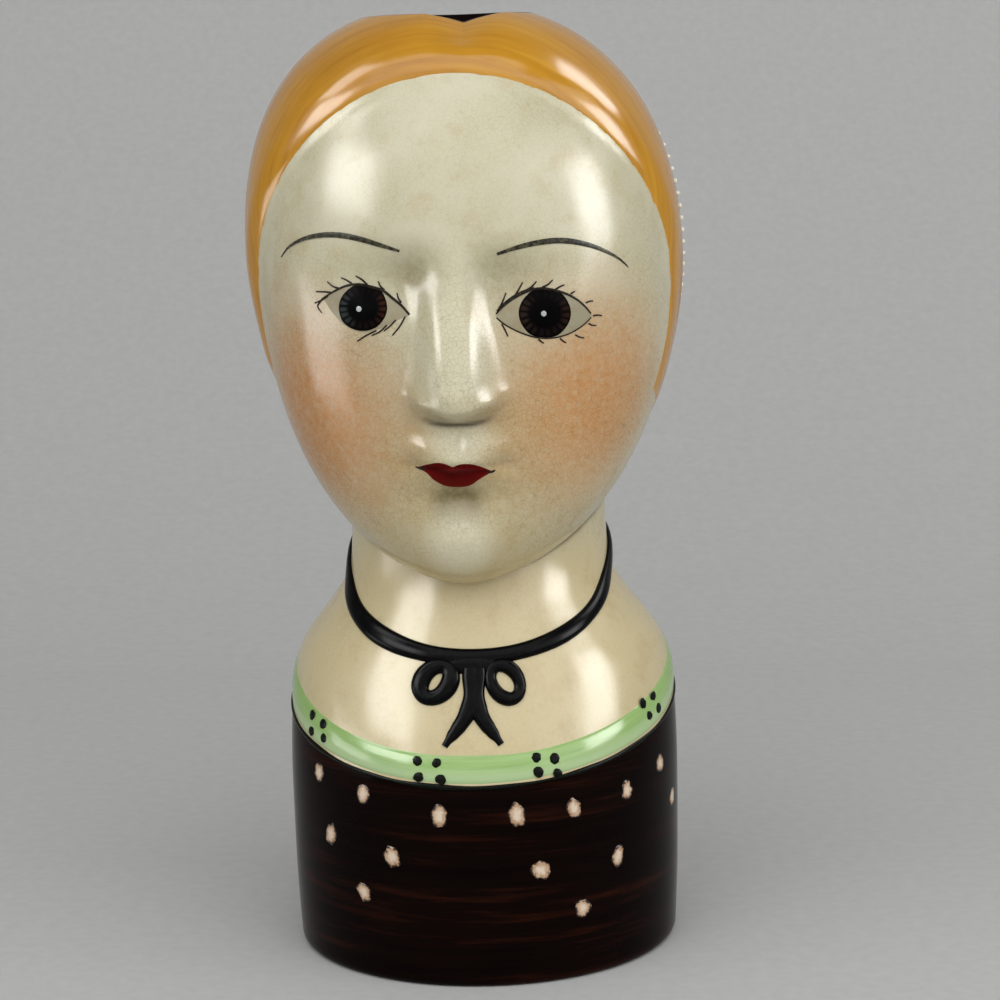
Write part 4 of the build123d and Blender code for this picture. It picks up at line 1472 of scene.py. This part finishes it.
    def build_line(self) -> bpy.types.Object:
        """The dark brush line that edges the band where it meets the bodice."""
        turns = self.turns()
        middle = self.form.on_slope(turns, self.neckline_at)[:, 2] - self.line_drop
        half = self.line_wide / 2.0 + waver(turns, self.line_waves)
        rows: list[np.ndarray] = []
        for angle in np.linspace(0.0, math.tau, 10, endpoint=False):
            flat = self.form.point(turns, middle + half * math.sin(angle))
            rows.append(flat + self.form.normal(flat) * (self.line_seat + self.line_high * math.cos(angle)))
        return shape_sheet(Sheet.RING, "neckline_brush_line", np.stack(rows, axis=1))

    def neck_shade_and_grime(self, points: np.ndarray) -> np.ndarray:
        """How much painted shade, with grime, darkens points of the neck near the head, from 0 to 1."""
        out = np.minimum(self.head.measure(points), self.head.far_share) ** (1.0 / self.head.plan_power) - 1.0
        near = np.exp(-((np.maximum(out, 0.0) * self.joint_radius / self.joint_spread) ** 2))
        return mark_of(self.joint_shade_strength * near)

    def build_shoulders(self) -> bpy.types.Object:
        """The chest, shoulders and neck, hollow, open at the top inside the head."""
        turns = self.turns()
        low = self.form.on_slope(turns, self.neckline_at)[:, 2]
        rise = self.neck_top - low
        rows = [self.form.point(turns, low + rise * share) for share in np.linspace(0.0, 1.0, 120)]
        rows += [self.form.point(turns, low + rise * share, -self.wall) for share in np.linspace(1.0, 0.0, 36)]
        grid = np.stack(rows, axis=1)
        # Painted shade with grime where the neck goes into the head
        return shape_sheet(Sheet.RING, "shoulders_and_neck_glazed", grid, {"dirt": self.neck_shade_and_grime(grid)})

    def build(self) -> None:
        """Builds and dresses the bust."""
        dress(self.build_drum(), [BROWN], Slot.BROWN, ("bodice_drum",), 60.0)
        dress(self.build_band(), [GREEN], Slot.GREEN, ("neckline_band",), 70.0)
        dress(self.build_line(), [DOT_PAINT], Slot.BLACK, (), 80.0)
        dress(self.build_shoulders(), [SKIN], Slot.CREAM, ("shoulders_and_neck",), 60.0)


@dataclass
class Ribbon:
    """The black ribbon round the neck and its bow on the chest."""

    form: BustForm = BustForm()
    choker_z: float = 100.2
    choker_slope: float = 0.465
    choker_wide: float = 4.1
    choker_thick: float = 1.2
    knot: tuple[float, float] = (0.5, 80.6)
    knot_half: tuple[float, float] = (8.4, 2.5)
    knot_high: float = 1.25
    loop_left: tuple[float, float] = (-8.9, 76.4)
    loop_right: tuple[float, float] = (8.4, 76.2)
    lean_left: float = -48.0
    lean_right: float = 38.0
    loop_half_long: float = 4.4
    loop_half_short: float = 3.1
    half_wide_left: float = 2.2
    half_wide_right: float = 1.7
    loop_high: float = 1.5
    tail_left: tuple[tuple[float, float], ...] = ((-0.2, 79.5), (-0.3, 71.0), (-6.6, 61.6))
    tail_right: tuple[tuple[float, float], ...] = ((1.7, 79.5), (1.7, 70.5), (7.4, 61.9))
    tail_half_wide: float = 1.95
    tail_high: float = 1.4
    tail_swell: float = 0.1
    tail_taper: float = 0.55
    tail_thinned: float = 0.6
    tail_end: tuple[float, float] = (0.6, 1.0)
    tail_waves: Waves = ((0.07, 17.0, 0.0),)
    choker_waves: Waves = ((0.05, 5.0, 0.6), (0.03, 11.0, 0.0))
    choker_press: float = 0.22
    press_turn: float = -2.1
    press_spread: float = 0.45
    back_thinned: float = 0.18
    loop_waves: Waves = ((0.1, 2.0, 0.5),)
    knot_power: float = 0.8
    knot_sunk: float = 0.8

    def on_chest(self, places: np.ndarray) -> np.ndarray:
        """Points on the chest at places seen from the front."""
        return np.stack([places[:, 0], self.form.front_y(places[:, 0], places[:, 1]), places[:, 1]], axis=-1)

    def strip_rows(self, line: np.ndarray, closed: bool, half_wide: np.ndarray, high: np.ndarray) -> np.ndarray:
        """Rounded strip along a line on the chest.

        Args:
            line: points of the line.
            closed: whether the line ends where it starts.
            half_wide: half its width along the line.
            high: its height along the line.

        Returns:
            Points by place along the line, then round the strip.
        """
        along = np.roll(line, -1, axis=0) - np.roll(line, 1, axis=0) if closed else np.gradient(line, axis=0)
        up = self.form.normal(line)
        side = unit(np.cross(along, up))
        angles = np.linspace(0.0, math.tau, 16, endpoint=False)
        wide = np.sign(np.cos(angles)) * np.abs(np.cos(angles)) ** 0.8
        tall = np.where(np.sin(angles) > 0.0, np.abs(np.sin(angles)) ** 0.9, 0.35 * np.sin(angles))
        return (
            line[:, None]
            + side[:, None] * (half_wide[:, None] * wide)[..., None]
            + up[:, None] * (high[:, None] * tall)[..., None]
        )

    def build_choker(self) -> bpy.types.Object:
        """The ribbon round the neck, broader where the brush pressed on the viewer's left."""
        turns = np.linspace(-math.pi, math.pi, 240, endpoint=False)
        line = self.form.on_slope(turns, lambda y: self.choker_z + self.choker_slope * y)
        uneven = 1.0 + waver(turns, self.choker_waves)
        pressed = uneven + self.choker_press * np.exp(-(((turns - self.press_turn) / self.press_spread) ** 2))
        pressed = pressed - self.back_thinned * ease(-0.6, 0.2, np.sin(turns))
        grid = self.strip_rows(line, True, self.choker_wide / 2.0 * pressed, self.choker_thick * uneven)
        return shape_sheet(Sheet.RING, "choker_ribbon_glazed", grid)

    def build_loop(self, name: str, place: tuple[float, float], lean: float, half_wide: float) -> bpy.types.Object:
        """One loop of the bow: a strip bent into an oval on the chest.

        Args:
            name: the piece's name.
            place: the oval's middle, seen from the front.
            lean: the oval's lean in degrees.
            half_wide: half the strip's width.

        Returns:
            The new mesh object.
        """
        turns = np.linspace(0.0, math.tau, 64, endpoint=False)
        lean_turn = math.radians(lean)
        short, long = self.loop_half_short * np.cos(turns), self.loop_half_long * np.sin(turns)
        x = place[0] + short * math.cos(lean_turn) - long * math.sin(lean_turn)
        z = place[1] + short * math.sin(lean_turn) + long * math.cos(lean_turn)
        line = self.on_chest(np.stack([x, z], axis=-1))
        uneven = 1.0 + waver(turns, self.loop_waves)
        return shape_sheet(Sheet.RING, name, self.strip_rows(line, True, half_wide * uneven, self.loop_high * uneven))

    def build_tail(self, name: str, route: tuple[tuple[float, float], ...]) -> bpy.types.Object:
        """One tail of the bow, laid down the chest and thinned at its cut end."""
        line = self.on_chest(smooth_line(route, 30))
        share = np.linspace(0.0, 1.0, 30)
        end = ease(*self.tail_end, share)
        wide = self.tail_half_wide * (1.0 + self.tail_swell * np.sin(math.pi * share) - self.tail_taper * end)
        wide *= 1.0 + waver(share, self.tail_waves) + 0.05 * ease(0.6, 0.9, share) * np.sin(share * 46.0)
        high = self.tail_high * (1.0 - self.tail_thinned * end)
        rows = self.strip_rows(line, False, wide, high)
        ends = [np.repeat(rows[i].mean(axis=0)[None], rows.shape[1], axis=0) for i in (0, -1)]
        grid = np.concatenate([ends[0][None], rows, ends[1][None]], axis=0)
        return shape_sheet(Sheet.CAPPED, name, np.swapaxes(grid, 0, 1))

    def build_knot(self) -> bpy.types.Object:
        """The flat pad where the ribbon's ends meet."""
        turns = np.linspace(0.0, math.tau, 28, endpoint=False)
        rows: list[np.ndarray] = []
        for share in np.linspace(0.0, 1.0, 15):
            angle = math.pi * share
            x = self.knot[0] + self.knot_half[0] * math.sin(angle) ** self.knot_power * np.cos(turns)
            z = self.knot[1] + self.knot_half[1] * math.sin(angle) ** self.knot_power * np.sin(turns)
            flat = self.on_chest(np.stack([x, z], axis=-1))
            tall = (self.knot_high if share < 0.5 else self.knot_sunk) * math.cos(angle)
            rows.append(flat + self.form.normal(flat) * tall)
        return shape_sheet(Sheet.CAPPED, "bow_knot_glazed", np.stack(rows, axis=1))

    def build(self) -> None:
        """Builds and dresses the ribbon and its bow."""
        pieces = {"choker_ribbon": self.build_choker(), "bow_knot": self.build_knot()}
        left = self.loop_left, self.lean_left, self.half_wide_left
        right = self.loop_right, self.lean_right, self.half_wide_right
        for side, loop in zip(Side, (left, right)):
            name = "bow_loop_" + side.name.lower()
            pieces[name] = self.build_loop(name + "_glazed", *loop)
        for side, route in zip(Side, (self.tail_left, self.tail_right)):
            name = "bow_tail_" + side.name.lower()
            pieces[name] = self.build_tail(name + "_glazed", route)
        for stands_for, piece in pieces.items():
            dress(piece, [RIBBON], Slot.BLACK, (stands_for,), 80.0)


@dataclass(frozen=True)
class Stroke:
    """One brush stroke on the face: pixels of the photograph it passes through, and its width in millimetres."""

    pixels: Pixels
    start: float
    middle: float
    end: float


@dataclass(frozen=True)
class Eye:
    """One painted eye in pixels of the photograph, with the widths of its strokes at start, middle and end."""

    side: Side
    glaze: Glaze
    iris: tuple[float, float]
    iris_half: tuple[float, float]
    glint: tuple[float, float]
    lid: Pixels
    under: Pixels
    lid_widths: tuple[float, float, float]
    upper_widths: tuple[float, float, float]
    upper: tuple[Pixels, ...]
    lower: tuple[Pixels, ...]
    lines: tuple[Stroke, ...] = ()
    lower_widths: tuple[float, float, float] = (0.24, 0.26, 0.08)

    def strokes(self) -> list[Stroke]:
        """Its lid lines and lashes."""
        lashes = [Stroke(line, *self.upper_widths) for line in self.upper]
        lashes += [Stroke(line, *self.lower_widths) for line in self.lower]
        return [Stroke(self.lid, *self.lid_widths), *self.lines, *lashes]


RIGHT_UNDER = (
    (496.4, 317.7), (502.6, 323), (511.6, 328.4), (521.4, 332.9), (533.9, 336.9), (547.3, 338.2), (560.7, 336.4),
    (569.6, 333.3), (578.5, 328.4), (587.4, 321.2), (591, 317.2),
)
RIGHT_INNER = ((497, 311.6), (504, 303.5), (513, 296.6), (524, 290.8), (534, 287.6))
LEFT_EYE = Eye(
    Side.LEFT,
    LEFT_IRIS,
    iris=(363.0, 307.6),
    iris_half=(25.5, 23.4),
    glint=(359.0, 309.0),
    lid=(
        (322, 299), (330, 293.8), (338, 289.3), (347.9, 285.3), (359.5, 284.4), (370.2, 286.6), (383.6, 291.1),
        (392.5, 298.2), (401.4, 305.4), (409.5, 314.7),
    ),
    under=((324, 299.5), (332, 312), (345, 325.5), (363, 332.5), (381, 328.5), (396, 321), (409, 315.5)),
    lid_widths=(0.2, 0.62, 0.45),
    upper_widths=(0.36, 0.32, 0.08),
    upper=(
        ((352.3, 283.9), (347, 280.2), (341.2, 277.7)),
        ((367.5, 284.8), (362, 279.6), (355.9, 275.9)),
        ((384.5, 290.2), (380.6, 286.4), (378.2, 281.3)),
        ((401.4, 302.7), (398.5, 298.4), (397, 292.9)),
        ((340, 288.5), (333, 286.2), (327.5, 281.5)),
        ((332, 292.5), (325, 291.8), (316.5, 291.5)),
        ((328, 296), (321, 300.5), (315, 303)),
    ),
    lower=(
        ((405.4, 316.5), (400, 326), (392.5, 335.3)),
        ((376.4, 330.4), (366, 335.6), (357.7, 341.1)),
        ((396, 320), (390, 326), (384, 331)),
        ((387, 325), (380, 331.5), (372, 335.5)),
        ((322, 300), (318, 306), (322, 313)),
    ),
)
RIGHT_EYE = Eye(
    Side.RIGHT,
    RIGHT_IRIS,
    iris=(544.8, 313.2),
    iris_half=(27.5, 25.0),
    glint=(543.7, 313.6),
    lid=(
        (496.1, 313.8), (502.3, 307.1), (511.3, 300), (522, 293.8), (533.6, 289.3), (542.5, 288.4), (555.9, 290.6),
        (569.3, 295.1), (580, 301.8), (587.1, 308.9), (590.7, 313.4),
    ),
    under=RIGHT_UNDER,
    lid_widths=(0.3, 0.58, 0.25),
    upper_widths=(0.34, 0.3, 0.08),
    upper=(
        ((497, 311.6), (502, 303), (505.9, 292.9)),
        ((513.3, 298.2), (518.5, 290), (522.7, 282.1)),
        ((526.7, 290.2), (532, 286.4), (536.5, 281.3)),
        ((541.9, 287.5), (548, 284.4), (552.6, 279.9)),
        ((555.3, 289.3), (560, 286.6), (564.2, 284.8)),
        ((570.5, 293.8), (573, 292.2), (574.9, 291.5)),
        ((585.6, 302.7), (589.5, 301.2), (592.8, 300.9)),
        ((592.8, 315.6), (597, 315), (601.7, 315.6)),
    ),
    lower=(
        ((501.7, 323.9), (505, 330), (508, 336.4)),
        ((538.4, 339.1), (541, 341.4), (543.7, 343.1)),
        ((559.8, 338.2), (563, 341), (566, 342.7)),
        ((575, 334.6), (579.5, 336.9), (583.9, 337.8)),
        ((588.4, 323.5), (592, 325), (596, 325.3)),
    ),
    lines=(Stroke(RIGHT_INNER, 0.15, 0.28, 0.15), Stroke(RIGHT_UNDER, 0.12, 0.2, 0.1)),
)


@dataclass
class FacePaint:
    """Brows, eyes, lashes and lips, painted on the face as thin films."""

    form: HeadForm = HeadForm()
    view: PhotoView = PhotoView()
    film: float = 0.05
    white_share: float = 0.6
    iris_lift: float = 0.09
    glint_lift: float = 0.14
    glint_half: tuple[float, float] = (3.2, 3.4)
    wall_films: float = 3.0
    disc_columns: int = 72
    disc_rows: int = 13
    panel_rows: int = 19
    stroke_profile: tuple[tuple[float, float], ...] = ((-0.5, 0.3), (-0.25, 0.9), (0.0, 1.1), (0.25, 0.9), (0.5, 0.3))
    eyes: tuple[Eye, ...] = (LEFT_EYE, RIGHT_EYE)

    def brows(self) -> list[Stroke]:
        """The two brows, each thin at its ends."""
        left = [
            (281.5, 257), (288, 248), (300, 240.5), (318, 235.6), (338, 235), (360, 239), (380, 245), (399.5, 251),
        ]
        right = [
            (497, 254), (515, 248), (538, 242.6), (560, 240.5), (583, 243.5), (606, 251.5), (620, 259.5), (628, 267),
        ]
        return [Stroke(left, 0.12, 1.35, 0.5), Stroke(right, 0.6, 1.35, 0.1)]

    def stroke(self, stroke: Stroke, count: int = 26) -> bpy.types.Object:
        """One stroke as a narrow raised strip on the face."""
        line = self.view.land(smooth_line(stroke.pixels, count), self.form.face_y)
        out = normals_on(self.form.face_y, line)
        side = unit(np.cross(np.gradient(line, axis=0), out))
        share = np.linspace(0.0, 1.0, count)
        body = 1.0 - (2.0 * share - 1.0) ** 2
        ends = stroke.start + (stroke.end - stroke.start) * share
        wide = ends + (stroke.middle - (stroke.start + stroke.end) / 2.0) * body
        columns = []
        for across, lift in self.stroke_profile:
            columns.append(lay_on(self.form.face_y, line + side * (wide * across)[:, None], self.film * lift))
        return shape_sheet(Sheet.PATCH, "stroke", np.stack(columns, axis=1))

    def strokes(self, name: str, strokes: list[Stroke], glaze: Glaze) -> None:
        """Several strokes as one piece."""
        piece = join(name, [self.stroke(stroke) for stroke in strokes])
        solidify(piece, self.film * self.wall_films)
        dress(piece, [glaze], Slot.BLACK, (), 60.0)

    def disc(self, name: str, centre: tuple[float, float], half: tuple[float, float], lift: float) -> bpy.types.Object:
        """A round spot of paint, with its own disc coordinates.

        Args:
            name: the piece's name.
            centre: pixel at its middle.
            half: half width and half height, in pixels.
            lift: height of its film at the middle.

        Returns:
            The new mesh object.
        """
        turns = np.linspace(0.0, math.tau, self.disc_columns, endpoint=False)
        rows: list[np.ndarray] = []
        discs: list[np.ndarray] = []
        for i, reach in enumerate((*np.linspace(0.0, 1.0, self.disc_rows), *np.linspace(0.96, 0.0, 5))):
            disc = np.stack([reach * np.cos(turns), reach * np.sin(turns), np.zeros_like(turns)], axis=-1)
            pixels = np.array(centre) + disc[:, :2] * np.array([half[0], -half[1]])
            height = lift * (1.0 - 0.8 * reach**4) if i < self.disc_rows else -2.0 * self.film
            rows.append(lay_on(self.form.face_y, self.view.land(pixels, self.form.face_y), height))
            discs.append(disc)
        return shape_sheet(Sheet.CAPPED, name, np.stack(rows, axis=1), {"disc": np.stack(discs, axis=1)})

    def panel(self, name: str, upper: Pixels, lower: Pixels, lift: float, count: int = 46) -> bpy.types.Object:
        """A film of paint between an upper and a lower edge.

        Args:
            name: the piece's name.
            upper: pixels along its upper edge, from left to right.
            lower: pixels along its lower edge, from left to right.
            lift: height of its film.
            count: how many points run along each edge.

        Returns:
            The new mesh object, with how far down it a point lies as its lip attribute.
        """
        top, bottom = smooth_line(upper, count), smooth_line(lower, count)
        rows: list[np.ndarray] = []
        marks: list[np.ndarray] = []
        for share in np.linspace(1.0, 0.0, self.panel_rows):
            flat = self.view.land(top + (bottom - top) * share, self.form.face_y)
            rows.append(lay_on(self.form.face_y, flat, lift * (0.3 + 0.7 * (1.0 - (2.0 * share - 1.0) ** 6))))
            marks.append(np.stack([np.linspace(0.0, 1.0, count), np.full(count, share), np.zeros(count)], axis=-1))
        piece = shape_sheet(Sheet.PATCH, name, np.stack(rows, axis=1), {"lip": np.stack(marks, axis=1)})
        solidify(piece, self.film * self.wall_films)
        return piece

    def build(self) -> None:
        """Builds and dresses all the paint of the face."""
        self.strokes("brow_strokes", self.brows(), BROW_PAINT)
        self.build_eyes()
        self.build_lips()

    def build_eyes(self) -> None:
        """Whites, irises, glints, lids and lashes."""
        eyes = {eye.side.name.lower(): eye for eye in self.eyes}
        for side, eye in eyes.items():
            white = self.panel("eye_white_" + side, eye.lid, eye.under, self.film * self.white_share)
            dress(white, [EYE_WHITE], Slot.CREAM)
        for side, eye in eyes.items():
            dress(self.disc("iris_" + side, eye.iris, eye.iris_half, self.iris_lift), [eye.glaze], Slot.BLACK)
        for side, eye in eyes.items():
            dress(self.disc("glint_" + side, eye.glint, self.glint_half, self.glint_lift), [GLINT_PAINT], Slot.SLIP)
        for side, eye in eyes.items():
            self.strokes("lash_strokes_" + side, eye.strokes(), LINE_PAINT)

    def build_lips(self) -> None:
        """The painted mouth, with the dark stroke at each corner."""
        upper = [
            (417, 467), (428, 464.3), (440, 463), (447, 464.8), (452.5, 467), (458, 465), (467, 464), (479, 466),
            (492, 471),
        ]
        lower = [
            (417, 467.8), (426, 472.5), (434, 480), (445, 485.6), (457, 487), (470, 485.4), (480, 478.8), (492, 471.8),
        ]
        dress(self.panel("lips", upper, lower, self.film * 2.0), [LIP_PAINT], Slot.BLACK, (), 60.0)
        corners = [
            Stroke([(416, 466.6), (420, 468), (426, 469.4)], 0.15, 0.5, 0.2),
            Stroke([(487, 471.6), (490, 472), (495, 470.2)], 0.2, 0.5, 0.2),
        ]
        self.strokes("lip_corner_strokes", corners, LINE_PAINT)


@dataclass
class BodicePaint:
    """Dots on the band and dabs on the bodice; the far side goes on as the near side begins."""

    form: BustForm = BustForm()
    view: PhotoView = PhotoView()
    band_proud: float = 0.5
    blob_sunk: float = -0.25
    seed: int = 7
    dot_clusters: tuple[tuple[tuple[float, float], ...], ...] = (
        ((314, 715), (324.5, 724), (313, 731), (325, 738)),
        ((418, 761), (437, 763), (419, 777), (441, 779.5)),
        ((536, 757.5), (554, 758.6), (538, 772), (557, 773)),
        ((641.6, 703.4), (651.6, 696), (648, 715.5), (657, 708)),
    )
    dabs: tuple[tuple[float, float], ...] = (
        (319, 772), (363, 794), (439, 816), (517, 815), (574, 808), (627, 790), (660, 763), (672, 796),
        (331, 834), (392, 857), (541, 870), (618, 856), (364, 892), (583, 908),
    )
    back_rows: tuple[float, ...] = (62.0, 47.0, 33.0, 19.0)
    back_dabs: int = 6
    back_clusters: int = 6
    cluster_from: float = 30.0
    cluster_sweep: float = 120.0
    dot_across: float = 2.4
    dot_rise: float = 2.1
    dot_stray: float = 0.4
    dot_wide: tuple[float, float] = (1.2, 1.45)
    dot_tall: tuple[float, float] = (1.1, 1.4)
    dot_ragged: float = 0.12
    dot_lift: float = 0.12
    band_radius: float = 50.0
    dab_from: float = 12.0
    dab_sweep: float = 156.0
    dab_stray_turn: float = 0.08
    dab_stray: float = 3.0
    dab_wide: tuple[float, float] = (1.9, 2.5)
    dab_tall: tuple[float, float] = (2.3, 3.1)
    dab_ragged: float = 0.2
    dab_lift: float = 0.08

    def blob(
        self, centre: np.ndarray, half: tuple[float, float], ragged: float, base: float, lift: float,
        rng: np.random.Generator,
    ) -> bpy.types.Object:
        """One spot of thick paint with an uneven edge, on the bust.

        Args:
            centre: a point near the bust's surface.
            half: half width and half height.
            ragged: how uneven its edge is.
            base: how far what it is painted on stands off the bust.
            lift: how far its middle stands off that.
            rng: where the unevenness comes from.

        Returns:
            The new mesh object.
        """
        turns = np.linspace(0.0, math.tau, 22, endpoint=False)
        edge = np.ones_like(turns)
        for waves in (2, 3, 5, 7):
            high = ragged / math.sqrt(waves) * rng.uniform(-1.0, 1.0)
            edge += high * np.cos(waves * turns + rng.uniform(0.0, math.tau))
        out = self.form.normal(self.form.seat(centre))
        level = unit(np.array([-out[1], out[0], 0.0]))
        upright = np.cross(out, level)
        rows: list[np.ndarray] = []
        marks: list[np.ndarray] = []
        crown = ((0.0, lift), (0.45, lift), (0.8, 0.8 * lift), (0.96, 0.4 * lift), (1.0, 0.0))
        for share, height in (*crown, (0.8, self.blob_sunk), (0.0, self.blob_sunk)):
            reach = edge * share
            flat = centre + level * (half[0] * reach * np.cos(turns))[:, None]
            flat = flat + upright * (half[1] * reach * np.sin(turns))[:, None]
            rows.append(self.form.seat(flat, np.full(turns.shape, base + height)))
            marks.append(np.stack([np.full_like(turns, share), turns, np.zeros_like(turns)], axis=-1))
        return shape_sheet(Sheet.CAPPED, "blob", np.stack(rows, axis=1), {"spot": np.stack(marks, axis=1)})

    def build_dots(self, bust: Bust) -> None:
        """Clusters of four dots round the band."""
        rng = np.random.default_rng(self.seed)
        places = [*self.view.land(np.array(self.dot_clusters, float).reshape(-1, 2), self.form.front_y)]
        for i in range(self.back_clusters):
            turn = math.radians(self.cluster_from + self.cluster_sweep * i / (self.back_clusters - 1))
            low = self.form.on_slope(np.array([turn]), bust.neckline_at)[0, 2]
            high = self.form.on_slope(np.array([turn]), bust.band_top_at)[0, 2]
            for across in (-self.dot_across, self.dot_across):
                for rise in (-self.dot_rise, self.dot_rise):
                    z = (low + high) / 2.0 + rise + rng.uniform(-self.dot_stray, self.dot_stray)
                    at = turn + (across + rng.uniform(-self.dot_stray, self.dot_stray)) / self.band_radius
                    places.append(self.form.point(np.array(at), np.array(z)))
        dots = []
        for place in places:
            half = (rng.uniform(*self.dot_wide), rng.uniform(*self.dot_tall))
            dots.append(self.blob(place, half, self.dot_ragged, self.band_proud, self.dot_lift, rng))
        dress(join("band_dots", dots), [DOT_PAINT], Slot.BLACK, (), 80.0)

    def build_dabs(self) -> None:
        """Cream dabs over the bodice."""
        rng = np.random.default_rng(self.seed + 1)
        places = [*self.view.land(np.array(self.dabs, float), self.form.front_y)]
        for row, z in enumerate(self.back_rows):
            for i in range(self.back_dabs):
                bearing = self.dab_from + (i + 0.5 * (row % 2)) * self.dab_sweep / (self.back_dabs - 0.5)
                turn = math.radians(bearing) + rng.uniform(-self.dab_stray_turn, self.dab_stray_turn)
                rise = rng.uniform(-self.dab_stray, self.dab_stray)
                places.append(self.form.point(np.array(turn), np.array(z + rise)))
        dabs = []
        for place in places:
            half = (rng.uniform(*self.dab_wide), rng.uniform(*self.dab_tall))
            dabs.append(self.blob(place, half, self.dab_ragged, 0.0, self.dab_lift, rng))
        dress(join("bodice_dabs", dabs), [DAB_PAINT], Slot.CREAM, (), 80.0)

    def build(self, bust: Bust) -> None:
        """Builds and dresses the dots and the dabs."""
        self.build_dots(bust)
        self.build_dabs()


@dataclass(frozen=True)
class Softbox:
    """One soft studio lamp, placed by its bearing from the head; a card only shows in the glaze."""

    name: str
    bearing: float
    height: float
    distance: float
    wide: float
    tall: float
    watts: float
    lights_clay: bool = True

    def add(self, aim: Vector) -> None:
        """Adds the lamp, turned to the object.

        Args:
            aim: the point it is turned to, in metres.
        """
        turn, rise = math.radians(self.bearing), math.radians(self.height)
        away = Vector((math.sin(turn) * math.cos(rise), -math.cos(turn) * math.cos(rise), math.sin(rise)))
        bpy.ops.object.light_add(type="AREA", location=aim + away * self.distance)
        lamp = bpy.context.object
        lamp.name = self.name
        lamp.data.shape = "RECTANGLE"
        lamp.data.size = self.wide
        lamp.data.size_y = self.tall
        lamp.data.energy = self.watts
        lamp.visible_diffuse = self.lights_clay
        lamp.rotation_euler = (-away).to_track_quat("-Z", "Y").to_euler()


@dataclass
class Studio:
    """A plain pale floor that sweeps up behind, soft lamps and an even world."""

    aim: tuple[float, float, float] = (0.0, 0.0, 0.16)
    floor_colour: str = "#C4C4C3"
    fibre_colour: str = "#BEBEBD"
    sky_strength: float = 0.26
    half_wide: float = 2500.0
    floor_front: float = -2000.0
    sweep_start: float = 300.0
    sweep_radius: float = 700.0
    wall_top: float = 2400.0
    fibre_scale: float = 260.0
    paper_roughness: float = 0.85
    lamps: tuple[Softbox, ...] = (
        Softbox("top_softbox", 0.0, 52.0, 1.5, 1.6, 1.2, 10.4),
        Softbox("front_softbox", 4.0, 14.0, 1.6, 1.6, 0.9, 4.0),
        Softbox("left_softbox", -55.0, 22.0, 1.6, 1.4, 1.0, 4.2),
        Softbox("right_softbox", 58.0, 22.0, 1.6, 1.4, 1.0, 8.0),
        Softbox("left_card", -54.0, 21.0, 1.0, 0.52, 0.34, 5.0, False),
        Softbox("left_low_card", -76.0, -9.0, 0.45, 0.22, 0.10, 0.30, False),
        Softbox("left_high_card", -70.0, 47.0, 1.0, 0.36, 0.46, 3.2, False),
        Softbox("right_card", 75.0, 15.5, 1.0, 0.40, 0.42, 5.5, False),
        Softbox("right_high_card", 112.0, 40.0, 1.0, 0.40, 0.42, 4.2, False),
    )

    def build_floor(self) -> None:
        """Floor and backdrop in one smooth sweep."""
        turns = np.linspace(0.0, math.pi / 2.0, 14)
        start, radius = self.sweep_start, self.sweep_radius
        profile = [(self.floor_front, 0.0), (self.floor_front / 2.0, 0.0), (start, 0.0)]
        profile += [(start + radius * math.sin(t), radius - radius * math.cos(t)) for t in turns]
        profile += [(start + radius, self.wall_top)]
        grid = np.array([[(x, y, z) for y, z in profile] for x in np.linspace(-self.half_wide, self.half_wide, 9)])
        floor = shape_sheet(Sheet.PATCH, "studio_floor", grid)
        make_active(floor)
        bpy.ops.object.shade_smooth()
        material = bpy.data.materials.new("pale paper sweep")
        material.use_nodes = True
        material.node_tree.nodes.clear()
        add = partial(node, material.node_tree)
        place = add("TexCoord").outputs["Object"]
        fibre = add("TexNoise", {"Vector": place, "Scale": self.fibre_scale, "Detail": 3.0})
        tone = add("MapRange", (fibre, 0.3, 0.7))
        colour = add("Mix", {0: tone, MIX_A: self.floor_colour, MIX_B: self.fibre_colour}, **COLOUR)
        shader = add("BsdfPrincipled", {"Base Color": colour, "Roughness": self.paper_roughness})
        add("OutputMaterial", {"Surface": shader})
        floor.data.materials.append(material)
        floor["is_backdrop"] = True

    def build(self, view: PhotoView) -> None:
        """Sets up floor, lamps, world and camera."""
        self.build_floor()
        for lamp in self.lamps:
            lamp.add(Vector(self.aim))
        world = bpy.data.worlds.new("even_sky")
        world.use_nodes = True
        sky = world.node_tree.nodes["Background"]
        sky.inputs["Color"].default_value = (1.0, 1.0, 1.0, 1.0)
        sky.inputs["Strength"].default_value = self.sky_strength
        bpy.context.scene.world = world
        bpy.context.scene.view_settings.view_transform = "Standard"
        view.add_camera()


def main() -> None:
    """Builds the vase, its paint and the studio."""
    logging.basicConfig(level=logging.INFO, format="%(name)s %(message)s")
    cad_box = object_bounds()
    head, bust, view = Head(), Bust(), PhotoView()
    head.build()
    bust.build()
    Ribbon().build()
    FacePaint().build()
    BodicePaint().build(bust)
    Studio().build(view)
    boxes = {"cad": cad_box, "visual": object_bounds()}
    {name: [list(map(float, corner)) for corner in box] for name, box in boxes.items()}


if __name__ == "__main__":
    main()
